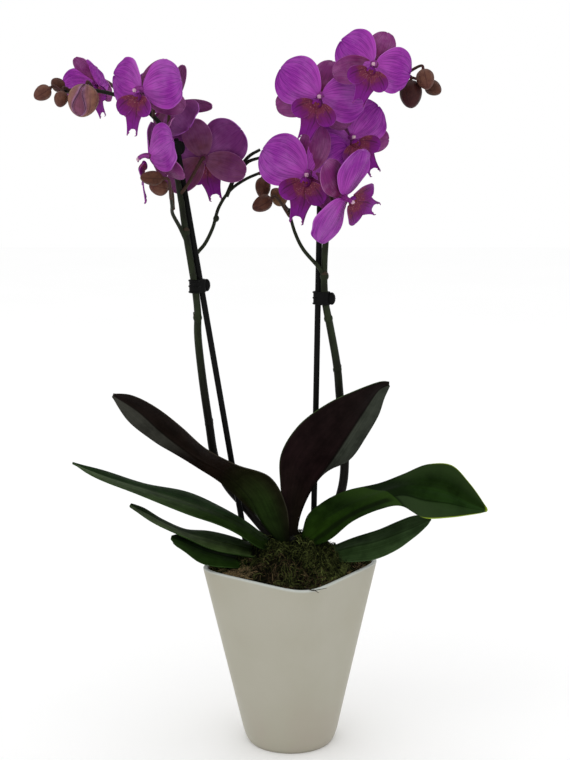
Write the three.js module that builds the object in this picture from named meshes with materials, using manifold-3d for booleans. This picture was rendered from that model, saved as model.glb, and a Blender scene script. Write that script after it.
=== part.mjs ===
// Potted moth orchid with two flower spikes in a glazed cover pot.
// Millimetres, +Z up. The origin is the middle of the pot's foot, +Y runs to the back of the plant.

import * as THREE from 'three';
import { mergeVertices } from 'three/addons/utils/BufferGeometryUtils.js';
import Module from 'manifold-3d';

const wasm = await Module();
wasm.setup();

// Pot
const POT_HEIGHT = 168;
const FOOT_RADIUS = 41;
const RIM_CORNER_RADIUS = 80;
const RIM_SQUARENESS = 6;
const POT_TURN = 9.3;
const WALL = 4.5;
const FLOOR = 7;
const POT_SIDES = 32;
const GAP = 0.35;

// Filling
const MEDIUM_TOP = 144;
const MOSS_EDGE_TOP = 164;
const MOUND_HEIGHT = 25;
const MOUND_RADIUS = 48;
const MOSS_RELIEF = 1.2;

// Stems and stakes
const SPIKE_RADIUS = 3.3;
const RACHIS_RADIUS = 2.1;
const STALK_RADIUS = 1.35;
const STAKE_RADIUS = 2.7;
const STEM_SIDES = 5;
const STEM_STEPS = 15;
const RACHIS_STEPS = 8;
const CLIP_HEIGHT = 12;
const CLIP_WALL = 1.6;

// Leaves and blooms
const LEAF_RIB = 2.6;
const LEAF_EDGE = 1.2;
const TEPAL_THICKNESS = 1;
const LIP_THICKNESS = 1;
const PETAL_LENGTH = 43;
const PETAL_WIDTH = 43;
const SEPAL_LENGTH = 41;
const SEPAL_WIDTH = 26;
const HUB_RADII = [4.6, 4.6, 3.4];
const HUB_DEPTH = 3.2;
const TEPAL_START = 2;

const vec = (p) => new THREE.Vector3(...p);
const rad = THREE.MathUtils.degToRad;
const curveThrough = (points) => new THREE.CatmullRomCurve3(points.map(vec), false, 'centripetal');

const FINISHES = {
  glaze: { color: 0xc9c4b2, roughness: 0.25, metalness: 0 },
  bark: { color: 0x3b2a1e, roughness: 1, metalness: 0 },
  moss: { color: 0x3a3822, roughness: 1, metalness: 0 },
  leaf: { color: 0x2b4a22, roughness: 0.5, metalness: 0 },
  stem: { color: 0x2c3a24, roughness: 0.6, metalness: 0 },
  black: { color: 0x121312, roughness: 0.45, metalness: 0 },
  petal: { color: 0x8a329a, roughness: 0.6, metalness: 0 },
  lip: { color: 0x6c1468, roughness: 0.5, metalness: 0 },
  bud: { color: 0x6a4838, roughness: 0.6, metalness: 0 },
};

const orchid = new THREE.Group();

function addPiece(name, solid, finish) {
  const piece = new THREE.Mesh(asGeometry(solid), new THREE.MeshStandardMaterial(FINISHES[finish]));
  piece.name = name;
  orchid.add(piece);
  return piece;
}

// Solids for joining and cutting

function asSolid(geometry) {
  const bare = geometry.clone();
  bare.deleteAttribute('normal');
  bare.deleteAttribute('uv');
  const merged = mergeVertices(bare, 1e-4);
  return new wasm.Manifold(new wasm.Mesh({
    numProp: 3,
    vertProperties: Float32Array.from(merged.attributes.position.array),
    triVerts: Uint32Array.from(merged.index.array),
  }));
}

function asGeometry(solid) {
  const mesh = solid.getMesh();
  const geometry = new THREE.BufferGeometry();
  geometry.setAttribute('position', new THREE.BufferAttribute(Float32Array.from(mesh.vertProperties), 3));
  geometry.setIndex(new THREE.BufferAttribute(Uint32Array.from(mesh.triVerts), 1));
  geometry.computeVertexNormals();
  return geometry;
}

const fuse = (solids) => solids.reduce((all, next) => all.add(next));
const cut = (solid, tools) => tools.reduce((rest, tool) => rest.subtract(tool), solid);

// A thin blade: both faces follow surface(u, v), with the same triangles on each
function bladeGeometry(surface, us, vs, thickness) {
  const step = 1e-3;
  const columns = vs.length;
  const count = us.length * columns;
  const positions = [];
  for (const side of [0.5, -0.5]) {
    for (const u of us) {
      for (const v of vs) {
        const du = surface(u + step, v).sub(surface(u - step, v));
        const dv = surface(u, v + step).sub(surface(u, v - step));
        const normal = du.cross(dv).normalize();
        positions.push(...surface(u, v).addScaledVector(normal, side * thickness(u, v)));
      }
    }
  }
  const index = [];
  const quad = (a, b, c, d) => index.push(a, b, c, a, c, d);
  const last = us.length - 1;
  for (let i = 0; i < last; i++) {
    for (let j = 0; j < columns - 1; j++) {
      const a = i * columns + j;
      const [b, c, d] = [a + columns, a + columns + 1, a + 1];
      quad(a, b, c, d);
      index.push(a + count, c + count, b + count, a + count, d + count, c + count);
    }
    const near = i * columns;
    const far = near + columns - 1;
    quad(near + count, near + columns + count, near + columns, near);
    quad(far + count, far, far + columns, far + columns + count);
  }
  for (let j = 0; j < columns - 1; j++) {
    const end = last * columns + j;
    quad(j + count, j, j + 1, j + 1 + count);
    quad(end + count, end + 1 + count, end + 1, end);
  }
  const geometry = new THREE.BufferGeometry();
  geometry.setAttribute('position', new THREE.Float32BufferAttribute(positions, 3));
  geometry.setIndex(index);
  return geometry;
}

function stemSolid(points, radius, sides, steps) {
  const section = new THREE.Shape();
  for (let i = 0; i < sides; i++) {
    const turn = (i / sides) * 2 * Math.PI;
    const corner = [radius * Math.cos(turn), radius * Math.sin(turn)];
    if (i === 0) section.moveTo(...corner);
    else section.lineTo(...corner);
  }
  const path = curveThrough(points);
  return asSolid(new THREE.ExtrudeGeometry(section, { steps, bevelEnabled: false, extrudePath: path }));
}

function ballSolid(centre, radii, sides, rings) {
  const geometry = new THREE.SphereGeometry(1, sides, rings);
  geometry.scale(...radii).translate(...centre);
  return asSolid(geometry);
}

// Pot, growing medium and moss

// Radius of the pot's outline in one direction: a circle at the foot, a rounded square at the rim
function potOutline(turn, z) {
  const rise = THREE.MathUtils.clamp(z / POT_HEIGHT, 0, 1);
  const squareness = 2 + (RIM_SQUARENESS - 2) * rise ** 1.4;
  const corner = 2 ** (0.5 - 1 / squareness);
  const reach = (Math.abs(Math.cos(turn)) ** squareness + Math.abs(Math.sin(turn)) ** squareness);
  return reach ** (-1 / squareness) / corner;
}

const potCornerRadius = (z) => THREE.MathUtils.lerp(FOOT_RADIUS, RIM_CORNER_RADIUS, z / POT_HEIGHT);

function roundSquareSolid(profile, relief = () => 0) {
  const geometry = new THREE.LatheGeometry(profile.map((p) => new THREE.Vector2(...p)), POT_SIDES);
  geometry.rotateX(Math.PI / 2);
  const place = geometry.attributes.position;
  const front = rad(POT_TURN) + Math.PI / 4;
  for (let i = 0; i < place.count; i++) {
    const [x, y, z] = [place.getX(i), place.getY(i), place.getZ(i)];
    const radius = Math.hypot(x, y);
    const turn = Math.atan2(y, x);
    const out = radius * potOutline(turn, z);
    const [px, py] = [out * Math.cos(turn + front), out * Math.sin(turn + front)];
    place.setXYZ(i, px, py, z + relief(px, py, z, radius));
  }
  return asSolid(geometry);
}

function potSolid() {
  const side = [50, 95, 135, 160].map((z) => [potCornerRadius(z), z]);
  const inside = [160, 100, FLOOR + 7].map((z) => [potCornerRadius(z) - WALL, z]);
  return roundSquareSolid([
    [0, 0], [FOOT_RADIUS - 5, 0], [FOOT_RADIUS - 1.4, 1.4], [FOOT_RADIUS, 4.5], ...side,
    [RIM_CORNER_RADIUS, POT_HEIGHT - 1.2], [RIM_CORNER_RADIUS - 1.4, POT_HEIGHT],
    [RIM_CORNER_RADIUS - WALL + 1.2, POT_HEIGHT], ...inside,
    [potCornerRadius(FLOOR) - WALL - 5, FLOOR], [0, FLOOR],
  ]);
}

function mediumSolid() {
  const fit = (z) => potCornerRadius(z) - WALL - 2;
  const low = FLOOR + GAP;
  return roundSquareSolid([
    [0, low], [fit(FLOOR) - 6, low], [fit(FLOOR + 7), low + 7], [fit(100), 100],
    [fit(MEDIUM_TOP), MEDIUM_TOP], [0, MEDIUM_TOP],
  ]);
}

function mossSolid() {
  const low = MEDIUM_TOP + GAP;
  const fit = (z) => potCornerRadius(z) - WALL - GAP - 0.6;
  const reach = fit(MOSS_EDGE_TOP);
  const rings = [0.97, 0.72, 0.5, 0.28].map((share) => [reach * share, MOSS_EDGE_TOP]);
  const relief = (x, y, z) => {
    if (z < MOSS_EDGE_TOP - 1) return 0;
    const mound = MOUND_HEIGHT * Math.exp(-((Math.hypot(x, y) / MOUND_RADIUS) ** 3));
    const swirl = Math.sin(x * 0.31 + 2 * Math.sin(y * 0.11)) * Math.cos(y * 0.27 - x * 0.08);
    return mound + MOSS_RELIEF * (swirl + 0.6 * Math.sin(x * 0.17 + y * 0.63));
  };
  return roundSquareSolid([
    [0, low], [fit(low), low], [fit(low + 8), low + 8], [reach, MOSS_EDGE_TOP - 2], ...rings,
    [0, MOSS_EDGE_TOP],
  ], relief);
}

// Stakes

const STAKES = {
  stake_left: [[-22.25, 30, 60], [-99.8, 5.5, 549]],
  stake_right: [[19.4, 30, 60], [25.9, 17, 512]],
};

function stakeSolid(ends, radius) {
  const [low, high] = ends.map(vec);
  const along = high.clone().sub(low);
  const geometry = new THREE.CylinderGeometry(radius, radius, along.length(), 8);
  geometry.rotateX(Math.PI / 2);
  const facing = new THREE.Quaternion().setFromUnitVectors(vec([0, 0, 1]), along.normalize());
  geometry.applyQuaternion(facing);
  geometry.translate(...low.add(high).multiplyScalar(0.5));
  return asSolid(geometry);
}

// Leaves: near and far edges with the rib between them, from the crown to the tip

const LEAVES = {
  leaf_left_upper: {
    near: [[-1, -9.5, 187], [-4, -12, 224], [-18, -11, 251], [-49, -14, 263], [-74, -17, 278],
      [-96, -16, 298], [-120, -12, 315], [-142, -6, 325], [-158, 2, 325]],
    rib: [[-10, -3, 188], [-25, -1, 206], [-37, 3, 228], [-58, 4, 250], [-82, 5, 263], [-100, 5, 276],
      [-117, 5, 290], [-136, 5, 308], [-159, 4, 323]],
    far: [[-10, 4, 189], [-26, 8, 204], [-43, 9, 222], [-64, 11, 241], [-85, 12, 254], [-107, 13, 268],
      [-124, 13, 279], [-146, 11, 297], [-160, 6, 321]],
  },
  leaf_left_long: {
    near: [[-4, -11, 182], [-24, -17, 186], [-47, -24, 202], [-68, -30, 214.2], [-92, -33, 224.2],
      [-131, -30, 238.6], [-160, -22, 248], [-180, -12, 255], [-195, -2, 261]],
    rib: [[-4, -2, 182], [-24, -2, 190], [-44, -2, 204], [-69, -3, 216], [-96, -3, 226], [-131, -2, 236.6],
      [-162, 0, 246], [-182, 0, 254], [-196, 0, 261]],
    far: [[-4, 5, 182], [-22, 9, 190], [-43, 17, 204], [-70, 21, 217.4], [-97, 23, 228.6],
      [-133, 22, 236.8], [-164, 16, 248], [-183, 8, 256], [-196, 3, 262]],
  },
  leaf_left_narrow: {
    near: [[-4, -10, 176], [-28, -18, 178], [-52, -21, 183], [-74, -24, 190], [-93, -22, 197.4],
      [-113, -19, 206.8], [-130, -16, 215], [-144, -8, 222]],
    rib: [[-4, -2, 176], [-28, -6, 180], [-51, -8, 186], [-75, -8, 192], [-95, -8, 198], [-115, -7, 207],
      [-134, -5, 217], [-145, -4, 223]],
    far: [[-4, 5, 176], [-27, 5, 181], [-48, 8, 188], [-76, 10, 195], [-97, 6, 198.6], [-117, 3, 208],
      [-133, 4, 219], [-144, 0, 224]],
  },
  leaf_left_low: {
    near: [[-5, -9, 170], [-30, -21, 171], [-52, -29, 173], [-68, -33, 175], [-81, -34, 180],
      [-94, -32, 188], [-104, -26, 194]],
    rib: [[-5, -2, 170], [-30, -9, 172], [-50, -12, 175], [-67, -14, 179.4], [-83, -15, 185],
      [-96, -17, 191.8], [-107, -21, 197]],
    far: [[-5, 5, 170], [-29, 3, 173], [-48, 7, 176.5], [-67, 7, 182.2], [-84, 6, 188.6],
      [-97, 1, 194.2], [-107, -15, 198]],
  },
  leaf_right_upright: {
    near: [[-1, -5, 189], [-5, -8, 212], [-9, -12, 244], [-9, -14, 272], [6, -16, 298], [33, -14, 319],
      [58, -8, 330], [78, 0, 335], [88, 6, 335]],
    rib: [[4, -2, 189], [6, 0, 207], [12, 2, 225], [23, 5, 244], [37, 6, 264], [52, 6, 288], [64, 6, 307],
      [79, 7, 328], [88, 7, 332]],
    far: [[5, 5, 189], [7, 10, 205], [14, 13, 224], [29, 17, 247], [53, 18, 260], [68, 19, 280],
      [79, 18, 300], [84, 14, 318], [89, 9, 330]],
  },
  leaf_right_arched: {
    near: [[4, -9, 181], [20, -17, 189], [34, -23, 197], [54, -30, 216], [80, -33, 228], [97, -36, 232],
      [117, -39, 222], [140, -36, 221], [160, -30, 222], [173.6, -26, 223.4]],
    rib: [[6, -4, 181], [16, -5, 191], [31, -3, 207], [54, -5, 222], [81, -8, 235], [100, -12, 242],
      [119, -18, 243], [139, -22, 239], [158, -24, 230], [175, -25, 224.4]],
    far: [[9, -1, 186], [15, 3, 211], [29, 12, 221], [52, 18, 231], [82, 19, 238], [103, 14, 247],
      [124, 4, 259], [144, -6, 261], [159, -16, 247], [174.4, -24, 226]],
  },
  leaf_right_low: {
    near: [[5, -9, 173], [22, -16, 174], [36, -22, 175], [55, -28, 178], [76, -34, 183], [95, -36, 192],
      [108, -34, 202], [120, -28, 210]],
    rib: [[5, -2, 173], [20, -6, 176], [34, -9, 179], [54, -12, 186], [76, -17, 193], [96, -22, 202],
      [111, -24, 209], [125, -24, 216]],
    far: [[5, 5, 173], [18, 4, 177], [32, 3, 181], [53, 2, 189], [77, -3, 199], [96, -10, 210],
      [112, -16, 217], [124, -21, 218]],
  },
};

const LEAF_COLUMNS = [-1, -0.5, 0, 0.5, 1];
const LEAF_ROWS = 8;
const LEAF_CAMBER = 0.05;

// grow widens and thickens the leaf all round, for the slot that holds its base
function leafSolid(leaf, grow = 0) {
  const [near, rib, far] = [leaf.near, leaf.rib, leaf.far].map(curveThrough);
  const surface = (u, v) => {
    const middle = rib.getPoint(THREE.MathUtils.clamp(u, 0, 1));
    const half = (v < 0 ? near : far).getPoint(THREE.MathUtils.clamp(u, 0, 1)).sub(middle);
    const share = Math.abs(v);
    const along = rib.getTangent(THREE.MathUtils.clamp(u, 0.001, 0.999));
    const up = half.clone().cross(along).multiplyScalar(v < 0 ? 1 : -1).normalize();
    const arch = LEAF_CAMBER * half.length() * Math.sin(Math.PI * share);
    const wide = half.clone().setLength(half.length() * share + grow * share);
    const slip = 1.6 * grow * Math.max(0, 1 - u / 0.06);
    return middle.add(wide).addScaledVector(up, -arch).addScaledVector(along, -slip);
  };
  const us = Array.from({ length: LEAF_ROWS + 1 }, (_, i) => (i + 0.02) / (LEAF_ROWS + 0.04));
  const thickness = (u, v) => {
    const plain = THREE.MathUtils.lerp(LEAF_RIB, LEAF_EDGE, Math.abs(v));
    return grow * 2 + plain * (1 - 0.45 * u);
  };
  return asSolid(bladeGeometry(surface, us, LEAF_COLUMNS, thickness));
}

// Spikes: main stem, branches and the stalk of each bloom and bud

const SPIKE_LEFT = {
  stem: [[-2, 9, 172], [-12, 16, 180], [-26, 23, 195], [-42, 29, 213], [-59, 30, 234], [-69, 29.5, 258],
    [-74, 28.5, 290], [-80, 26, 337], [-83, 19, 375], [-82.6, 13.3, 396], [-84.2, 8.8, 416], [-87.7, 7, 440],
    [-92.1, 4.8, 469], [-95.3, 3, 496]],
  rachis: [[-95.3, 3, 494], [-100, 1, 526], [-105, 0, 550], [-116, -1, 566], [-131, -2, 579], [-152, -4, 587],
    [-175, -6, 591], [-190, -8, 590], [-196, -8, 589]],
  branches: [
    [[-90.4, 5.6, 458], [-96, -1, 472], [-101.5, -16, 486], [-101, -30, 494], [-101, -42, 502]],
    [[-87.5, 7, 438], [-88.5, 13.5, 441], [-86, 17, 444], [-82, 20, 449], [-76, 22, 456], [-69, 24, 470],
      [-63.5, 27, 488], [-53, 33, 503], [-40, 34, 512], [-27, 30, 518]],
    [[-57, 31, 497], [-47, 36, 519], [-37, 36, 532], [-27, 35, 538]],
    [[-47, 36, 517], [-38, 37, 527], [-27, 35, 531]],
  ],
  nodes: [[-74.1, 28.4, 291], [-82.8, 14.6, 391], [-92, 4.9, 468]],
  knots: [[-66, 25.5, 478]],
};

const SPIKE_RIGHT = {
  stem: [[2.6, 9, 184], [13.6, 16, 189], [28.6, 21, 198], [40.6, 25, 212], [47.6, 27, 232], [49.6, 27, 258],
    [47.5, 27, 290], [44.4, 26, 319], [42.2, 25, 343], [34.9, 22.5, 384], [31.3, 18.5, 402],
    [29.8, 15.5, 420], [29.8, 14.6, 440], [31, 12.5, 462], [33, 9, 492]],
  rachis: [[33, 9, 490], [37, 5, 531], [47, 2, 565], [61, 0, 590], [80, -1, 603], [96, -2, 603]],
  branches: [
    [[29.8, 15, 428], [25, 12, 436], [11, 15, 452], [4, 16, 466], [0, 15, 480], [-1, 14, 488]],
  ],
  nodes: [[42.2, 25, 342], [33.8, 21.5, 389], [29.8, 15, 428]],
  knots: [],
};

// Blooms: centre, facing (yaw to the right, pitch up, roll clockwise), size and the point of the stem
// that the bloom's stalk leaves. Each tepal has an angle in the bloom's plane and a sweep, which is how
// far it leans forward out of that plane: right petal, left petal, then the sepals from the top one.

const BLOOMS = {
  bloom_left_1: {
    petals: [[15, -2], [165, -9]], sepals: [[90, -44], [-32, -40], [212, -10]],
    at: [-124, -38, 591], turn: [-35, 0, 3], size: 0.95, from: [-118, -1, 568],
  },
  bloom_left_2: {
    petals: [[30, 8], [228, -44]], sepals: [[108, -5], [182, -4], [300, -8]], slim: 0.5,
    at: [-104, 28, 577], turn: [178, -2, 0], size: 0.9, from: [-106, 0, 554],
  },
  bloom_left_3: {
    petals: [[18, -30], [162, -12]], sepals: [[90, -38], [-40, -34], [220, -10]],
    at: [-119, -36, 536], turn: [-84, -12, 0], size: 0.95, from: [-106, 0, 553],
  },
  bloom_left_4: {
    petals: [[24, -4], [156, -4]], sepals: [[90, -24], [-30, -6], [212, -6]],
    at: [-76.4, 29, 531], turn: [176, 0, 13], size: 1, from: [-97, 3, 500], via: [-90, -1, 509],
  },
  bloom_left_5: {
    petals: [[20, 34], [160, 34]], sepals: [[90, 30], [-35, 26], [215, 26]],
    at: [-170, 38, 595], turn: [-40, -12, -20], size: 0.74, from: [-150, -4, 586], via: [-150, 22, 588],
  },
  bloom_right_1: {
    petals: [[5, -34], [165, -22]], sepals: [[90, -34], [-32, -52], [212, -10]],
    at: [68, -53, 612], turn: [-6, 2, 20], size: 0.9, from: [62, 0, 591],
  },
  bloom_right_2: {
    petals: [[15, -20], [165, -10]], sepals: [[90, -36], [-28, -24], [212, -10]],
    at: [24, -40, 586], turn: [-4, 0, 19], size: 0.98, from: [45, 3, 560], via: [27, 6, 588],
  },
  bloom_right_3: {
    petals: [[15, -10], [165, -10]], sepals: [[90, -16], [-32, -10], [212, -10]],
    at: [51, -21.5, 551], turn: [12, 6, -30], size: 0.92, from: [40, 4, 542],
  },
  bloom_right_4: {
    petals: [[45, -25], [165, -8]], sepals: [[90, -14], [-32, -8], [205, -56]],
    at: [14, -44, 522], turn: [-6, 0, 12], size: 1.05, from: [36, 6, 520],
  },
  bloom_right_5: {
    petals: [[8, 4], [172, 4]], sepals: [[58, -8], [-32, -10], [212, -10]],
    at: [43, -68, 505], turn: [53, -23, -78], size: 1, from: [33, 10, 478], via: [41, -30, 480],
  },
};

function bloomMatrix(bloom) {
  const [yaw, pitch, roll] = bloom.turn.map(rad);
  const face = vec([Math.sin(yaw) * Math.cos(pitch), -Math.cos(yaw) * Math.cos(pitch), Math.sin(pitch)]);
  const side = vec([Math.cos(yaw), Math.sin(yaw), 0]);
  const up = face.clone().cross(side);
  const right = side.clone().multiplyScalar(Math.cos(roll)).addScaledVector(up, -Math.sin(roll));
  const top = up.clone().multiplyScalar(Math.cos(roll)).addScaledVector(side, Math.sin(roll));
  const size = bloom.size;
  const matrix = new THREE.Matrix4().makeBasis(right, top, face);
  return matrix.scale(vec([size, size, size])).setPosition(...bloom.at);
}

// Half width of a petal or sepal along its length, as a share of its widest
function tepalHalf(u, widest, claw) {
  if (u > widest) return Math.sqrt(Math.max(0, 1 - ((u - widest) / (1 - widest)) ** 2));
  return claw + (1 - claw) * Math.sin((Math.PI / 2) * (Math.max(0, u) / widest)) ** 0.7;
}

// Rows that crowd towards the round tip
function tepalRows(widest, inner, outer) {
  const rows = Array.from({ length: inner }, (_, i) => (i / inner) * widest);
  for (let i = 0; i <= outer; i++) rows.push(widest + (1 - widest) * Math.sin((i / outer) * rad(80)));
  return rows;
}

function tepalSolid({ angle, sweep, length, width, widest, claw, depth, arch, wave }, rows, columns) {
  const swing = new THREE.Matrix4().makeRotationZ(rad(angle));
  const lean = new THREE.Matrix4().makeRotationY(-rad(sweep));
  const surface = (u, v) => {
    const half = (width / 2) * tepalHalf(u, widest, claw);
    const along = TEPAL_START + (length - TEPAL_START) * u;
    const bend = -arch * length * u * u;
    const ripple = wave * u * Math.sin(5.2 * v + 4 * u);
    const point = vec([along, half * v, bend - 0.08 * half * v * v + ripple]);
    point.applyMatrix4(lean).applyMatrix4(swing);
    return vec([point.x, point.y, point.z + depth]);
  };
  return asSolid(bladeGeometry(surface, rows, columns, () => TEPAL_THICKNESS));
}

// Shape of each kind of tepal: where it is widest, its narrow base as a share of that, its step forward
// or back from the bloom's plane, and how much it bows and waves
const PETAL = {
  length: PETAL_LENGTH, width: PETAL_WIDTH, widest: 0.56, claw: 0.14, depth: 0.6, arch: 0.06, wave: 0.9,
};
const SEPAL = {
  length: SEPAL_LENGTH, width: SEPAL_WIDTH, widest: 0.52, claw: 0.18, depth: -1, arch: 0.08, wave: 0.4,
};
const PETAL_ROWS = tepalRows(PETAL.widest, 1, 3);
const SEPAL_ROWS = tepalRows(SEPAL.widest, 1, 2);
const PETAL_COLUMNS = [-1, -0.36, 0.36, 1];
const SEPAL_COLUMNS = [-1, 0, 1];

function tepalsSolid(bloom) {
  const parts = [];
  for (const [angle, sweep] of bloom.petals) {
    parts.push(tepalSolid({ ...PETAL, angle, sweep }, PETAL_ROWS, PETAL_COLUMNS));
  }
  for (const [angle, sweep] of bloom.sepals) {
    const width = SEPAL.width * (bloom.slim ?? 1);
    parts.push(tepalSolid({ ...SEPAL, width, angle, sweep }, SEPAL_ROWS, SEPAL_COLUMNS));
  }
  parts.push(ballSolid([0, 0, -0.4], HUB_RADII, 5, 3));
  parts.push(stemSolid([[0, 0.6, 1], [0, 1.6, 4], [0, 0.4, 9.5]], 2.1, 5, 1));
  parts.push(ballSolid([0, -0.2, 10], [2.6, 2.4, 2.5], 5, 2));
  return fuse(parts).transform([...bloomMatrix(bloom).elements]);
}

// The lip: two side lobes that spread from the throat and a hanging middle lobe that ends in two horns
function lipSolid(bloom) {
  const lobe = (flip) => {
    const surface = (u, v) => {
      const half = 8.4 * tepalHalf(u, 0.6, 0.3);
      const along = 5 + 19 * u;
      const rise = 5 + 5.5 * Math.sin(u * 1.7);
      const point = vec([along, half * v, rise + 0.16 * half * v * v]);
      point.applyAxisAngle(vec([0, 0, 1]), rad(-45));
      return vec([flip * point.x, point.y - 3, point.z]);
    };
    return asSolid(bladeGeometry(surface, tepalRows(0.6, 1, 2), [-1, 0, 1], () => LIP_THICKNESS));
  };
  const middle = (u, v) => {
    const spread = Math.sin(Math.min(1, u / 0.55) * Math.PI / 2) ** 2;
    const half = 2.4 + 6.4 * spread - 9 * Math.max(0, u - 0.55) ** 0.9;
    const horn = u ** 6 * v ** 4;
    return vec([half * v + 1.4 * horn * v, -9 - 24.5 * u - 5 * horn, 6 + 5 * Math.sin(u * 2) + 2 * horn]);
  };
  const parts = [
    lobe(1), lobe(-1),
    asSolid(bladeGeometry(middle, [0, 0.3, 0.6, 1], [-1, -0.4, 0.4, 1], () => LIP_THICKNESS)),
    ballSolid([0, -6.3, 5.8], [4.6, 4.55, 2.6], 6, 2),
  ];
  return fuse(parts).transform([...bloomMatrix(bloom).elements]);
}

// The stalk runs from the stem to a point just behind the bloom's hub
function bloomStalk(bloom) {
  const matrix = bloomMatrix(bloom);
  const back = (depth) => vec([0, 0, -depth]).applyMatrix4(matrix);
  const end = back(HUB_DEPTH + GAP / bloom.size + 0.05);
  const turn = back(14);
  return [bloom.from, ...(bloom.via ? [bloom.via] : []), [...turn], [...end]];
}

// Buds: middle, the way the tip points, length, width, and the point that the stalk leaves

const BUDS = {
  bud_left_tip_1: {
    at: [-211.5, -9, 588], tip: [-0.8, -0.2, -0.5], length: 16, width: 13, from: [-195, -8, 589],
  },
  bud_left_tip_2: {
    at: [-200, 4, 595], tip: [-0.7, 0.1, 0.6], length: 13, width: 11.5, from: [-186, -7, 590],
  },
  bud_left_tip_3: {
    at: [-195, -15, 583], tip: [-0.2, -0.3, -0.9], length: 14, width: 12, from: [-188, -8, 590],
  },
  bud_left_opening: {
    at: [-175, -25, 582], tip: [-0.2, -0.3, -0.9], length: 27, width: 26, from: [-168, -5, 590],
  },
  bud_left_branch_1: {
    at: [-115, -64, 520], tip: [-0.97, -0.15, 0.05], length: 19, width: 12, from: [-101, -41, 501],
  },
  bud_left_branch_2: {
    at: [-111, -44, 511], tip: [-0.75, -0.45, 0.2], length: 17, width: 14, from: [-100, -26, 491],
  },
  bud_middle_1: {
    at: [-24.4, 27, 505], tip: [0, -0.1, -1], length: 19, width: 14, from: [-28, 30, 517],
  },
  bud_middle_2: {
    at: [-25, 4, 493], tip: [-0.8, -0.2, -0.45], length: 19, width: 14, from: [-1, 14, 481],
  },
  bud_middle_3: {
    at: [-10.9, 17, 498], tip: [-0.5, -0.3, 0.7], length: 18, width: 14, from: [-1, 14, 486],
  },
  bud_right_tip_1: {
    at: [102, -11, 587], tip: [0, -0.3, -0.95], length: 24, width: 19.5, from: [92, -2, 603],
  },
  bud_right_tip_2: {
    at: [113.5, -18.5, 599.5], tip: [0.2, -0.4, -0.9], length: 18, width: 15, from: [96, -2, 603],
  },
  bud_right_tip_3: {
    at: [122, 0, 592], tip: [0.8, 0, -0.5], length: 15, width: 13, from: [96, -2, 603],
  },
};

const BUD_SIDES = 8;
const BUD_RINGS = 4;

function budSolid(bud) {
  const geometry = new THREE.SphereGeometry(1, BUD_SIDES, BUD_RINGS);
  const place = geometry.attributes.position;
  for (let i = 0; i < place.count; i++) {
    const [x, y, z] = [place.getX(i), place.getZ(i), place.getY(i)];
    const turn = Math.atan2(y, x);
    const slim = (1 - 0.16 * z) * (1 - 0.05 * Math.cos(3 * turn));
    place.setXYZ(i, x * slim * bud.width / 2, -y * slim * bud.width / 2, z * bud.length / 2);
  }
  const facing = new THREE.Quaternion().setFromUnitVectors(vec([0, 0, 1]), vec(bud.tip).normalize());
  geometry.applyQuaternion(facing);
  geometry.translate(...bud.at);
  return asSolid(geometry);
}

function budStalk(bud) {
  const tip = vec(bud.tip).normalize();
  const end = vec(bud.at).addScaledVector(tip, -bud.length / 2 - GAP - 0.05);
  const turn = end.clone().addScaledVector(tip, -4);
  return [bud.from, [...turn], [...end]];
}

function spikeSolid(spike, stalks) {
  const parts = [
    stemSolid(spike.stem, SPIKE_RADIUS, STEM_SIDES, STEM_STEPS),
    stemSolid(spike.rachis, RACHIS_RADIUS, STEM_SIDES, RACHIS_STEPS),
    ...spike.branches.map((branch) => stemSolid(branch, 1.7, 5, branch.length)),
    ...spike.nodes.map((node) => ballSolid(node, [4, 4, 4.4], 5, 2)),
    ...spike.knots.map((knot) => ballSolid(knot, [2.7, 2.7, 3.2], 5, 2)),
    ...stalks.map((stalk) => stemSolid(stalk, STALK_RADIUS, 4, 2 * (stalk.length - 1))),
  ];
  return fuse(parts);
}

// Crown: the short stem that carries the leaves, with thick roots running down through the medium

const CROWN_MIDDLE = [0, 0, 174];
const CROWN_RADII = [11, 11.5, 25];
const CROWN_SIDES = 8;
const CROWN_RINGS = 4;

const ROOTS = [
  [[-4, -4, 158], [-16, -16, 140], [-24, -22, 112], [-20, -18, 78]],
  [[6, -4, 158], [20, -10, 138], [30, -8, 108], [24, -4, 70]],
  [[0, 5, 158], [-6, 18, 138], [-4, 26, 104], [-2, 20, 64]],
];

const rootSolids = (grow) => ROOTS.map((root) => stemSolid(root, 2.6 + grow, 4, 3));

function crownSolid(slots) {
  const stub = ballSolid(CROWN_MIDDLE, CROWN_RADII, CROWN_SIDES, CROWN_RINGS);
  return cut(fuse([stub, ...rootSolids(0)]), slots);
}

// Clips: a band round spike and stake, three ribs on one side and a knob on the other. A turned clip has
// its knob beside the spike.

const CLIPS = {
  clip_left_middle: { stake: 'stake_left', z: 420 },
  clip_left_upper: { stake: 'stake_left', z: 541 },
  clip_right_middle: { stake: 'stake_right', z: 408, turned: true },
};

function pointAtHeight(points, z) {
  const path = curveThrough(points);
  let [low, high] = [0, 1];
  for (let i = 0; i < 30; i++) {
    const middle = (low + high) / 2;
    if (path.getPoint(middle).z < z) low = middle;
    else high = middle;
  }
  return path.getPoint(low);
}

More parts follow.
